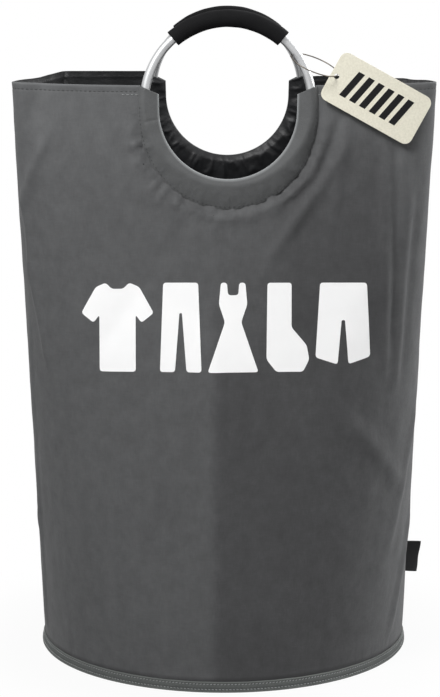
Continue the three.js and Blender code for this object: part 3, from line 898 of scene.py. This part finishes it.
# Sleeves. The tunnel of cloth sewn round each cut-out, in which the ring lies: grey outside, the
# coated black face towards the bag, pulled tight over the tube and gathered along its outer seam.
fold_y = 0.19907
ring_centre_up = 0.2081
tube_radius = 0.006
cutout_radius, cutout_drop = 0.089, 0.009
sleeve_top = 0.0225
sleeve_reach = 0.0073
sleeve_wall = 0.0011
sleeve_edge, lining_edge = 0.0013, 0.0004
sleeve_spans, sleeve_steps = 15, 210
grey_faces = 2 * sleeve_spans + 1
top_slope = 0.42
fullness = 0.030
outside_fold, pull_fold, join_groove = 0.0006, 0.0019, 0.0013
inside_ridge, inside_swell = 0.0021, 0.0016
fold_length = 0.030
outside_pitch, pull_pitch, fine_pull_pitch, fine_pull_share = 0.020, 0.0095, 0.0050, 0.6
pull_start, pull_fade = 0.40, 0.45
inside_pitch, swell_pitch, ridge_skew, ridge_sharpness = 0.013, 0.026, 0.05, 2.4
groove_angle, groove_width = pi + 0.23, 0.0017
edge_share, edge_flat = 0.02, 0.4
# how strongly a painted highlight lights the sleeve's rows next to the cut-out's fold
edge_highlight_steps = (0.7, 1.2, 1.7, 2.2, 2.6, 2.6, 1.6)


def handle_point(wall, across, depth, up):
    """A place in the plane of a wall's handle, from the ring's centre, depth being into the bag."""
    lift = ring_centre_up + up
    y = -fold_y + depth * cos(lean_angle) + lift * sin(lean_angle)
    z = fold_height - depth * sin(lean_angle) + lift * cos(lean_angle)
    return wall.world(across + ring_shift * wall.facing, y, z)


def ring_point(wall, angle, reach, depth):
    return handle_point(wall, reach * cos(angle), depth, reach * sin(angle))


def window_reach(angle):
    """From the ring's centre to the cut-out's edge."""
    across, up = cos(angle), sin(angle)
    if up * cutout_radius > -cutout_drop * abs(across):
        return cutout_radius / abs(across)
    return -cutout_drop * up + sqrt(cutout_radius ** 2 - (cutout_drop * across) ** 2)


def top_angle(reach):
    """Where the sleeve's slanted top edge crosses a circle round the ring's centre."""
    angle = 0.2
    for _ in range(4):
        across = reach * cos(angle)
        height = sleeve_top - top_slope * (seam_reach_side - across)
        angle = asin(min(0.9, height / reach))
    return angle


def belt(reach, inner, outer, radius, inner_edge, outer_edge):
    """How far the cloth stands from the ring's plane, pulled tight from edge to edge over the tube."""
    off = reach - ring_radius
    for side, end, edge in ((1, outer - ring_radius, outer_edge), (-1, ring_radius - inner, inner_edge)):
        away = off * side
        if away < 0:
            continue
        far = hypot(end, edge)
        touch = atan2(edge, end) + acos(min(1.0, radius / far))
        touch_away, touch_high = radius * cos(touch), radius * sin(touch)
        if away <= touch_away:
            return sqrt(max(0.0, radius ** 2 - off ** 2))
        share = min(1.0, (away - touch_away) / (end - touch_away))
        full = fullness * (end - touch_away) * sin(pi * share)
        return touch_high + (edge - touch_high) * share + full
    return radius


def sleeve_rings(wall, radius, inset, edge, crumpled):
    rings = []
    for i in range(sleeve_steps + 1):
        ring = []
        for j in range(4 * sleeve_spans):
            front = j < 2 * sleeve_spans
            turn = pi * (j + 0.5) / (2 * sleeve_spans)
            share = 0.5 + 0.5 * cos(turn)
            run = i / sleeve_steps
            angle = 1.5 * pi
            for _ in range(2):
                inner, outer = window_reach(angle) + inset, seam_reach(angle) - inset
                reach = inner + (outer - inner) * share
                top = top_angle(reach)
                start = pi - top
                angle = start + (tau + top - start) * run
            dip = sink(wall, angle)
            outer_edge = edge - dip if front else edge + dip + cloth_thickness * lowness(angle)
            depth = belt(reach, inner, outer, radius, edge, outer_edge)
            if share < edge_share:
                depth *= share / edge_share * (1 - edge_flat) + edge_flat
            if crumpled:
                depth += crumple(wall, angle, reach, share, front)
            ring.append(ring_point(wall, angle, reach, -depth if front else depth))
        rings.append(ring)
    return rings


def crumple(wall, angle, reach, share, front):
    """Small folds that run across the sleeve: a few outside, many on the loose black side."""
    seed = 2.0 if wall.name == "front" else 13.0
    run = angle * ring_radius
    across = reach / fold_length
    edges = sin(pi * share)
    if front:
        wave = waver(run / outside_pitch, across, seed)
        pulls = waver(run / pull_pitch, across * 0.5, seed + 4)
        pulls += fine_pull_share * waver(run / fine_pull_pitch, across * 2.2, seed + 5)
        pulls = lowness(angle) * smooth_step((share - pull_start) / pull_fade) * pulls
        joint = bell(run - groove_angle * ring_radius, groove_width) if wall.name == "front" else 0.0
        folds = edges * (outside_fold * max(0.0, wave) - join_groove * joint)
        return folds + pull_fold * pulls * (1 - share) ** 0.25
    ridge = waver(run / inside_pitch, across * 0.8 + run / ridge_skew, seed + 7)
    ridge = 1 - abs(ridge) * ridge_sharpness
    broad = waver(run / swell_pitch, across * 0.5, seed + 8)
    return edges * (inside_ridge * max(0.0, ridge) ** 2 + inside_swell * max(0.0, broad))


sleeve_grey = Finish("grey_sleeve_cloth", Roughness=0.6, Specular_IOR_Level=0.16)
tint = sleeve_grey.noise(40, 3)
sleeve_nap = sleeve_grey.noise(1400, 2)
# painted highlight along the fold at the cut-out's edge, read from a mesh attribute
edge_wear = sleeve_grey.node("ShaderNodeAttribute", {"attribute_name": "edge_wear"}, output="Fac")
sleeve_base = sleeve_grey.mix(tint * 0.5 + sleeve_nap * 0.5, shade(67, 68, 68), shade(102, 103, 104))
sleeve_grey.set(sleeve_grey.shader, {
    "Base Color": sleeve_grey.mix(edge_wear * 0.3, sleeve_base, shade(161, 164, 165)),
    "Roughness": tint * 0.15 + 0.52,
})
sleeve_dents = sleeve_grey.noise(75, 4, 0.6)
sleeve_grey.bump(sleeve_nap * 0.12 + sleeve_dents, 0.0020, 0.6)


def grained(name, scale, detail, dark, pale, bump, roughness=None, **shader):
    """A finish that a single grain shades, roughens and dents."""
    made = Finish(name, **shader)
    grain = made.noise(scale, detail)
    made.paint(grain, dark, pale, grain * roughness[0] + roughness[1] if roughness else None)
    made.bump(grain, *bump)
    return made


sleeve_black = grained("black_sleeve_coating", 70, 4, (18, 18, 19), (37, 38, 40), (0.003, 0.5),
                       (0.25, 0.36), Roughness=0.38, Specular_IOR_Level=0.3)

for wall in walls:
    build = bmesh.new()
    outside = sleeve_rings(wall, sleeve_reach, 0.0, sleeve_edge, True)
    inside = sleeve_rings(wall, sleeve_reach - sleeve_wall, sleeve_wall, lining_edge, False)
    outer_rows = loft(build, outside, caps=False, material=lambda j: 0 if j < grey_faces else 1)
    inner_rows = loft(build, inside, caps=False, material=lambda j: 1, turned=True)
    for end, flip in ((0, False), (-1, True)):
        outer_row, inner_row = outer_rows[end], inner_rows[end]
        for j in range(len(outer_row)):
            k = (j + 1) % len(outer_row)
            corners = (outer_row[j], inner_row[j], inner_row[k], outer_row[k])
            build.faces.new(corners[::-1] if flip else corners).material_index = 0
    sleeve = solid_from(build, f"{wall.name}_ring_sleeve", [sleeve_grey, sleeve_black])
    ring_size = len(outside[0])
    # the painted highlight along the cut-out's edge, on each vertex
    edge_highlight_share = np.zeros(len(sleeve.data.vertices))
    for back, amount in enumerate(reversed(edge_highlight_steps)):
        edge_highlight_share[ring_size // 2 - back:len(outside) * ring_size:ring_size] = amount
    sleeve.data.attributes.new("edge_wear", "FLOAT", "POINT").data.foreach_set("value", edge_highlight_share)
    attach(sleeve, f"{wall.name}_handle")
    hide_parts(f"{wall.name}_sleeve")

# Seam tapes. A black woven tape over each side seam on the inside, from the base to the rim, sewn
# through both walls. It is parted where the walls are, at the height from which they lean.
tape_half_width = 0.010
tape_proud = 0.0002
tape_thickness = 0.0009
tape_low, tape_high = 0.0145, 0.7775
tape_steps, tape_spans = 60, 10
seam_slack = 1e-6
tape_black = Finish("black_seam_tape", Roughness=0.7)
tape_ribs = tape_black.axis(tape_black.place(), "Z").ribs(0.0011)
tape_fleck = tape_black.noise(1600, 1)
tape_black.paint(tape_ribs * 0.5 + tape_fleck * 0.5, (18, 18, 19), (48, 48, 49), tape_fleck * 0.2 + 0.6)
tape_black.bump(tape_ribs, 0.00025, 0.7)


def inside_seam(side, run, height, proud):
    """A point on the bag's inner face, a short way round it from a side seam towards the back."""
    wall = front_wall if run < 0 else back_wall
    along = (wall.half_length(height) - abs(run)) * side * wall.facing
    x, y, nx, ny = wall.spot(along, height)
    stand = ripple(wall, along, height) - cloth_thickness - proud
    lift = rim_lift(wall, along) * lean_share(height)
    return wall.world(x + nx * stand, y + ny * stand, height + lift)


for side, side_name in ((-1, "left"), (1, "right")):
    for level, low, high in (("lower", tape_low, fold_height), ("upper", fold_height, tape_high)):
        rings = []
        for i in range(tape_steps + 1):
            z = low + (high - low) * i / tape_steps
            runs = [tape_half_width * (2 * k / tape_spans - 1) + seam_slack for k in range(tape_spans + 1)]
            near = [inside_seam(side, run, z, tape_proud) for run in runs]
            far = [inside_seam(side, run, z, tape_proud + tape_thickness) for run in reversed(runs)]
            rings.append(near + far)
        tape = skin(f"{side_name}_{level}_tape", rings, tape_black)
        if level == "lower":
            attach(tape, "root")
            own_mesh(tape)
            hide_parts(f"{side_name}_seam_tape")
        else:
            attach(tape, "mouth")
            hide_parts(f"{side_name}_seam_tape_upper")

# Base panel. A round disc of the black coated cloth, its edge turned down inside the walls and caught
# in the foot seam, lying a little uneven.
base_height = 0.0125
base_radius = 0.2515
base_turns, base_spans = 180, 44
base_thickness, base_edge_thickness = 0.0012, 0.0010
base_calm = 0.03
base_wave, base_wave_x, base_wave_y, base_gather = 0.0011, 0.07, 0.09, 0.0006
gather_count, gather_length, gather_start, gather_fade = 16, 0.05, 0.16, 0.07
base_middle, base_flat = 0.004, base_radius - 0.006
base_steps = [(base_middle + base_flat * k / base_spans, 0.0) for k in range(base_spans + 1)]
base_steps += [(base_radius - 0.0008, -0.0006), (base_radius, -0.0030), (base_radius + 0.0006, -0.0070),
               (base_radius + 0.0010, -0.0105)]


def full_turn(count):
    return [tau * k / count for k in range(count)]


def base_ring(radius, drop, below):
    ring = []
    for angle in full_turn(base_turns):
        x, y = radius * cos(angle), radius * sin(angle)
        edge = smooth_step((base_radius - radius) / base_calm)
        gathers = waver(angle * gather_count, radius / gather_length, 8)
        gathers *= smooth_step((radius - gather_start) / gather_fade)
        wave = (base_wave * waver(x / base_wave_x, y / base_wave_y, 5) + base_gather * gathers) * edge
        inward = base_edge_thickness if below and drop < 0 else 0.0
        depth = base_thickness if below and drop == 0 else 0.0
        ring.append(((radius - inward) * cos(angle), (radius - inward) * sin(angle),
                     base_height + base_thickness + wave + drop - depth))
    return ring


base_coating = Finish("black_base_cloth", Roughness=0.5)
base_cloud = base_coating.noise(22, 4)
base_grain = base_coating.noise(1100, 1)
base_coating.paint(base_cloud, (22, 22, 23), (44, 45, 46), base_cloud * 0.25 + 0.34)
base_coating.bump(base_cloud * 0.9 + base_grain * 0.1, 0.004, 0.5)
rings = [base_ring(radius, drop, False) for radius, drop in base_steps]
rings += [base_ring(radius, drop, True) for radius, drop in reversed(base_steps)]
build = bmesh.new()
rows = loft(build, rings, caps=False)
build.faces.new(rows[0])
build.faces.new(rows[-1][::-1])
base = solid_from(build, "base_disc", [base_coating])
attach(base, "root")
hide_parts("base_panel")

# Foot binding. A grey tape folded up round the raw edges of walls and base, with two rows of
# stitches. The bag stands on its fold.
binding_height = 0.0142
binding_outer = 0.2552
binding_flare = 0.0018
binding_grey = Finish("grey_binding_tape", Roughness=0.7, Specular_IOR_Level=0.2)
binding_rib = binding_grey.noise((1500, 1500, 260), 2)
binding_cloud = binding_grey.noise(60, 2)
binding_up = binding_grey.axis(binding_grey.place(), "Z")
# painted highlights along the tape's folded top edge and its bottom edge
painted_binding_highlights = binding_up.smooth(0.0120, 0.0134) + binding_up.fall(0.0012, 0.0028)
binding_grey.paint(binding_rib * 0.6 + binding_cloud * 0.4 + painted_binding_highlights * 0.8,
                   (65, 67, 67), (99, 102, 100), binding_cloud * 0.2 + 0.6)
binding_grey.bump(binding_rib, 0.0004, 0.7)
binding_profile = [
    # radius beyond the outer face, height
    (-0.0012, binding_height - 0.0006), (-0.0006, binding_height), (0.0000, binding_height - 0.0003),
    (0.0003, binding_height - 0.0016), (-0.0001, 0.0113), (-0.0004, 0.0108), (-0.0001, 0.0103),
    (0.0005, 0.0085), (0.0007, 0.0066), (0.0004, 0.0047), (0.0001, 0.0042), (0.0004, 0.0037),
    (0.0010, 0.0020), (0.0011, 0.0010), (0.0004, 0.0002), (-0.0010, 0.0), (-0.0040, 0.0),
    (-0.0054, 0.0003), (-0.0060, 0.0012), (-0.0061, 0.0040), (-0.0062, 0.0080), (-0.0060, 0.0112),
    (-0.0054, 0.0113), (-0.0049, 0.0108), (-0.0046, 0.0040), (-0.0040, 0.0022), (-0.0022, 0.0022),
    (-0.0014, 0.0040), (-0.0013, 0.0080),
]
binding_turns = 300
binding_waves = [
    # size, how many round, seed
    (0.0009, 12, 2), (0.0003, 45, 3),
]
binding_calm_height, binding_lift = 0.004, 0.9


def binding_point(angle, beyond, height):
    wave = sum(size * waver(cos(angle) * many, sin(angle) * many, seed) for size, many, seed in binding_waves)
    flare = binding_flare * (1 - height / binding_height)
    reach = binding_outer + beyond + flare + wave * min(1.0, height / binding_calm_height)
    rise_by = wave * binding_lift * smooth_step(height / binding_height)
    return (reach * cos(angle), reach * sin(angle), height + rise_by)


rings = [[binding_point(angle, beyond, z) for beyond, z in binding_profile]
         for angle in full_turn(binding_turns)]
binding = skin("foot_tape", rings, binding_grey, closed=True)
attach(binding, "root")
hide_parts("foot_binding")

stitch_sides, stitch_flatness = 6, 0.8
stitch_profile = [
    # share of its length, of its thickness, how far out
    (0.0, 0.35, -0.6), (0.12, 0.9, 0.1), (0.5, 1.0, 0.45), (0.88, 0.9, 0.1), (1.0, 0.35, -0.6),
]


def sewn(name, finish, thickness, stitches):
    """A row of stitches, each from a hole to the next and standing a little out of the cloth."""
    build = bmesh.new()
    for start, end, out in stitches:
        start, end, out = Vector(start), Vector(end), Vector(out)
        run = end - start
        side = run.cross(out).normalized()
        rings = []
        for share, size, lift in stitch_profile:
            centre = start + run * share + out * (lift * thickness)
            rings.append([
                centre + (side * cos(turn) + out * sin(turn) * stitch_flatness) * (thickness * 0.5 * size)
                for turn in full_turn(stitch_sides)])
        loft(build, rings)
    return solid_from(build, name, [finish])


twist = (0.0002, 0.6)
thread_light = grained("grey_thread", 3000, 1, (121, 123, 123), (161, 164, 164), twist, Roughness=0.6)
thread_dark = grained("dark_thread", 3000, 1, (42, 42, 43), (65, 66, 67), twist, Roughness=0.6)
thick_thread, fine_thread = 0.0011, 0.0008
binding_stitch_pitch, binding_stitch_length = 0.0046, 0.0034
count = int(tau * binding_outer / binding_stitch_pitch)
step = binding_stitch_length / binding_outer
binding_rows = [
    # height, beyond the tape's outside, shift along in stitches, slant
    (0.0108, -0.0003, 0, 0.0004), (0.0042, 0.0002, 0.5, -0.0003),
]
places = []
for height, beyond, shift, slant in binding_rows:
    for i in range(count):
        angle = tau * (i + shift) / count
        start = binding_point(angle, beyond, height - slant)
        end = binding_point(angle + step, beyond, height + slant)
        places.append((start, end, (cos(angle), sin(angle), 0)))
stitches = sewn("foot_stitches", thread_light, thick_thread, places)
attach(stitches, "root")

# Rim stitches. One row of dark thread holds the hem down, a hand's breadth of it sewn twice where
# the sleeves begin.
rim_stitch_pitch, rim_stitch_length = 0.0058, 0.0040
rim_stitch_proud = 0.00012
for wall in walls:
    lean = leans[wall.name]
    rim_rows = [
        # name, thread, height, from, to
        ("hem_stitches", thread_dark, bag_height - 0.0082, 0.118, wall.half_length(bag_height) - 0.006),
        ("tack_stitches", thread_light, bag_height - 0.0120, 0.104, 0.142),
    ]
    for part in (-1, 1):
        for row_name, thread, height, run, last in rim_rows:
            places = []
            while run + rim_stitch_length < last:
                ends = []
                for along in (run, run + rim_stitch_length):
                    along = along * part + ring_shift * wall.facing
                    x, y, z = wall_point(wall, along, height, rim_stitch_proud)
                    ends.append((x, y, z + rim_lift(wall, along)))
                _, _, nx, ny = wall.spot(run * part, height)
                places.append((*ends, wall.world(nx, ny, 0)))
                run += rim_stitch_pitch
            stitches = sewn(f"{wall.name}_{part_names[part]}_{row_name}", thread, fine_thread, places)
            lean.blend(stitches, part)

# Sleeve stitches. Each sleeve is sewn to its wall along its outer edge, with dark thread that sinks
# into the gathers.
seam_stitch_pitch, seam_stitch_length = 0.0056, 0.0032
seam_stitch_inset, seam_stitch_reach = 0.0028, 0.125


def on_sleeve(wall, angle, inset):
    """A place on the sleeve's outside, a little way in from its outer seam."""
    inner, outer = window_reach(angle), seam_reach(angle)
    reach = outer - inset
    depth = belt(reach, inner, outer, sleeve_reach, sleeve_edge, sleeve_edge - sink(wall, angle))
    depth += crumple(wall, angle, reach, (reach - inner) / (outer - inner), True)
    return ring_point(wall, angle, reach, -depth)


count = int(pi * seam_stitch_reach / seam_stitch_pitch)
for wall in walls:
    places = []
    for i in range(1, count - 1):
        angle = pi * (1 + i / count)
        start = on_sleeve(wall, angle, seam_stitch_inset)
        end = on_sleeve(wall, angle + seam_stitch_length / seam_reach(angle), seam_stitch_inset)
        places.append((start, end, wall.world(0, -1, 0)))
    stitches = sewn(f"{wall.name}_sleeve_stitches", thread_dark, fine_thread, places)
    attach(stitches, f"{wall.name}_handle")

# Ring tubes. Aluminium tube bent to a ring, drawn smooth and satin, its two ends meeting under the
# grip on a plug that lies inside.
tube_sides, tube_turns = 28, 160
tube_wall, tube_joint = 0.0011, 0.0006
satin_metal = Finish("satin_aluminium", Metallic=0.85)
draw_lines = satin_metal.noise((900, 900, 900), 2)
smudge = satin_metal.noise(35, 3)
satin_metal.paint(smudge, (168, 169, 170), (194, 195, 196), draw_lines * 0.10 + smudge * 0.10 + 0.34)
satin_metal.bump(draw_lines, 0.00006, 0.4)
for wall in walls:
    build = bmesh.new()
    half_gap = tube_joint / (2 * ring_radius)
    walls_of_tube = []
    for radius in (tube_radius, tube_radius - tube_wall):
        rings = []
        for i in range(tube_turns + 1):
            angle = pi / 2 + half_gap + (tau - 2 * half_gap) * i / tube_turns
            rings.append([
                ring_point(wall, angle, ring_radius + radius * cos(turn), radius * sin(turn))
                for turn in full_turn(tube_sides)])
        walls_of_tube.append(loft(build, rings, caps=False, turned=radius < tube_radius))
    for end in (0, -1):
        outside_row, inside_row = walls_of_tube[0][end], walls_of_tube[1][end]
        for k in range(tube_sides):
            m = (k + 1) % tube_sides
            build.faces.new((outside_row[k], outside_row[m], inside_row[m], inside_row[k]))
    tube = solid_from(build, f"{wall.name}_tube", [satin_metal], sharp=radians(60))
    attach(tube, f"{wall.name}_ring")
    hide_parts(f"{wall.name}_ring_tube")

# Tube spigots. The plugs that join each tube's two ends, pushed into them under the grip. They keep
# the shape of the part's own model, and get a grey moulded finish.
plug_plastic = grained("grey_plug_plastic", 700, 2, (129, 130, 133), (157, 158, 160), (0.0002, 0.4),
                       (0.2, 0.4), Roughness=0.45)
for prefix in ("front", "back"):
    node = bpy.data.objects[f"{prefix}_tube_spigot"]
    node.data.materials.clear()
    node.data.materials.append(plug_plastic.material)

# Grips. A thick black foam sleeve pushed over the top of each ring, cut square at its ends and a
# little soft at the edges.
grip_half_angle = radians(41)
grip_radius = 0.0113
grip_bore = 0.0064
grip_sides, grip_steps, bore_steps = 40, 58, 20
black_foam = Finish("black_foam", Roughness=0.8, Specular_IOR_Level=0.07)
pores = black_foam.noise(1300, 2)
skin_cloud = black_foam.noise(80, 3)
black_foam.paint(skin_cloud, (15, 15, 16), (28, 28, 29), skin_cloud * 0.2 + 0.68)
black_foam.bump(pores * 0.7 + skin_cloud * 0.3, 0.0005, 0.55)
dent_depth, dent_along, dent_round, end_crush = 0.00035, 5, 0.8, 0.0004
bore = grip_bore / grip_radius
grip_end = [(1.0, bore), (1.0, 0.80), (0.9995, 0.93), (0.9965, 0.985), (0.990, 1.0)]
stations = [(-share, size) for share, size in grip_end]
stations += [(-0.98 + 1.96 * k / grip_steps, 1.0) for k in range(grip_steps + 1)]
stations += grip_end[::-1] + [(1.0 - 2.0 * k / bore_steps, bore) for k in range(1, bore_steps)]
for wall in walls:
    rings = []
    for share, size in stations:
        angle = pi / 2 - share * grip_half_angle
        ring = []
        for turn in full_turn(grip_sides):
            radius = grip_radius * size
            if size > 0.9:
                y, z = cos(turn) * dent_round, sin(turn) * dent_round + wall.facing * 3
                dent = waver(share * dent_along, y, z)
                radius += dent_depth * dent - end_crush * abs(share) ** 6 * max(0.0, -cos(turn))
            reach = ring_radius + radius * cos(turn)
            ring.append(ring_point(wall, angle, reach, radius * sin(turn)))
        rings.append(ring)
    grip = skin(f"{wall.name}_foam_grip", rings, black_foam, closed=True, sharp=radians(50))
    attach(grip, f"{wall.name}_ring")
    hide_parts(f"{wall.name}_grip")

# Tag loop. Thin steel wire bent to a loop through the card's hole and round the ring's right leg, its
# ends laid side by side where it lies inside the ring.
wire_radius = 0.0008
loop_radius = 0.0325
loop_tilt, loop_dip = radians(21.7), radians(20)
leg_angle = radians(31.23)
loop_shift = 0.0201
loop_way = Vector((cos(loop_tilt), 0, -sin(loop_tilt)))
loop_up = Vector((sin(loop_tilt), 0, cos(loop_tilt)))
loop_near = Vector((0, -cos(loop_dip), 0)) - loop_up * sin(loop_dip)
loop_axis = loop_near.cross(loop_way)
leg_centre = Vector((cos(leg_angle), 0, sin(leg_angle))) * ring_radius
loop_centre = leg_centre + loop_way * loop_shift
steel_wire = grained("steel_wire", 900, 2, (80, 75, 69), (122, 115, 107), (0.0001, 0.4), (0.25, 0.3),
                     Metallic=1.0)
rings = []
lap = radians(16)
lap_start, lap_fade, lap_room = 0.20, 0.16, 1.05
wire_end = 0.55
wire_steps, wire_sides = 120, 12
for i in range(wire_steps + 1):
    share = i / wire_steps
    angle = pi - lap / 2 + (tau + lap) * share
    near_start, near_end = lap_start - share, share - (1 - lap_start)
    shift = smooth_step(near_end / lap_fade) - smooth_step(near_start / lap_fade)
    shift = shift * wire_radius * lap_room
    out = loop_way * cos(angle) + loop_near * sin(angle)
    size = wire_radius * (wire_end if i in (0, wire_steps) else 1.0)
    ring = []
    for turn in full_turn(wire_sides):
        point = loop_centre + out * (loop_radius + size * cos(turn))
        point += loop_axis * (size * sin(turn) + shift)
        ring.append(handle_point(front_wall, point.x, point.y, point.z))
    rings.append(ring)
wire = skin("wire_loop", rings, steel_wire)
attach(wire, "tag_loop")
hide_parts("tag_wire_loop")

# Swing tag. A cream pulp card with round corners and a punched hole, slightly bowed, with a plain
# row of slanted black bars printed on its face.
card_length, card_width, card_corner = 0.132, 0.068, 0.010
card_thickness, ink_depth = 0.0009, 0.0001
bow_along, bow_across = 0.0012, 0.0006
hole_reach, hole_inset = 0.0034, 0.008
card_tilt = radians(29)
crossing = radians(19.6)
hole_slack = 0.0011
card_way = Vector((cos(card_tilt), 0, -sin(card_tilt)))
card_up = Vector((sin(card_tilt), 0, cos(card_tilt)))
hole_centre = (loop_centre + loop_way * (loop_radius * cos(crossing))
               + loop_near * (loop_radius * sin(crossing)) + card_way * hole_slack)
cream_card = Finish("cream_pulp_card", Roughness=0.8)
pulp = cream_card.noise(420, 4, 0.6)
fibre = cream_card.noise((1800, 1800, 500), 2)
cream_card.paint(pulp.smooth(0.2, 0.8), (218, 214, 196), (234, 230, 213), fibre * 0.2 + 0.7)
cream_card.bump(pulp * 0.5 + fibre * 0.5, 0.0003, 0.5)
bar_ink = grained("black_card_ink", 300, 3, (11, 11, 12), (24, 24, 25), (0.0001, 0.3), (0.2, 0.4),
                  Roughness=0.5, Specular_IOR_Level=0.15)


def card_point(along, up_card, proud):
    """A place on the card, from its hole's centre, proud of its middle towards the front."""
    share = (along + hole_inset) / card_length
    bow = bow_along * sin(pi * share) + bow_across * (2 * up_card / card_width) ** 2
    point = hole_centre + card_way * along + card_up * up_card
    return handle_point(front_wall, point.x, point.y - proud - bow, point.z)


left, right = -hole_inset, card_length - hole_inset
half = card_width / 2
card_bevel = 0.0003
edge_count, bar_steps = 200, 8
bar_count, bar_start, bar_pitch, bar_width = 6, 0.014, 0.0145, 0.0088
bar_low, bar_high, bar_slant = -0.019, 0.019, 0.22
square = [(left, -half), (right, -half), (right, half), (left, half)]
outline = rounded(square, card_corner, 8)


def on_outline(point):
    """A point near one of the card's corners, moved onto the corner's quarter circle."""
    centre = Vector((min(max(point.x, left + card_corner), right - card_corner),
                     min(max(point.y, -half + card_corner), half - card_corner)))
    away = point - centre
    return centre + away.normalized() * card_corner if away.length > 1e-9 else point


def along_outline(points, count):
    """Points evenly spaced along a closed outline."""
    steps = [(points[i] - points[i - 1]).length for i in range(len(points))]
    total = sum(steps)
    made, i, done = [], 0, 0.0
    for k in range(count):
        goal = total * k / count
        while done + steps[i] < goal:
            done += steps[i]
            i += 1
        made.append(points[i - 1].lerp(points[i], (goal - done) / steps[i]))
    return made


edge_points = along_outline([on_outline(point) for point in outline], edge_count)
card_middle = Vector(((left + right) / 2, 0))
bevel_points = [point - (point - card_middle).normalized() * card_bevel for point in edge_points]
card_spans = 26


def card_face(side):
    """One face of the card, as rings from its hole to its bevel."""
    rings = []
    for k in range(card_spans + 1):
        ring = []
        for point in bevel_points:
            spot = (point.normalized() * hole_reach).lerp(point, (k / card_spans) ** 1.5)
            ring.append(card_point(spot.x, spot.y, side * card_thickness / 2))
        rings.append(ring)
    return rings


edges = [[card_point(point.x, point.y, card_thickness * share) for point in edge_points]
         for share in (0.2, -0.2)]
rings = card_face(1) + edges + card_face(-1)[::-1]
card = skin("pulp_card", rings, cream_card, closed=True, sharp=radians(35))
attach(card, "tag")
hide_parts("tag_card")

build = bmesh.new()
for k in range(bar_count):
    first = bar_start + k * bar_pitch
    rings = []
    low, high = card_thickness / 2 - ink_depth, card_thickness / 2 + ink_depth
    for i in range(bar_steps + 1):
        up_card = bar_low + (bar_high - bar_low) * i / bar_steps
        start = first + (up_card - bar_low) * bar_slant
        rings.append([card_point(start, up_card, low), card_point(start + bar_width, up_card, low),
                      card_point(start + bar_width, up_card, high), card_point(start, up_card, high)])
    loft(build, rings)
bars = solid_from(build, "card_bars", [bar_ink], sharp=radians(35))
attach(bars, "tag")
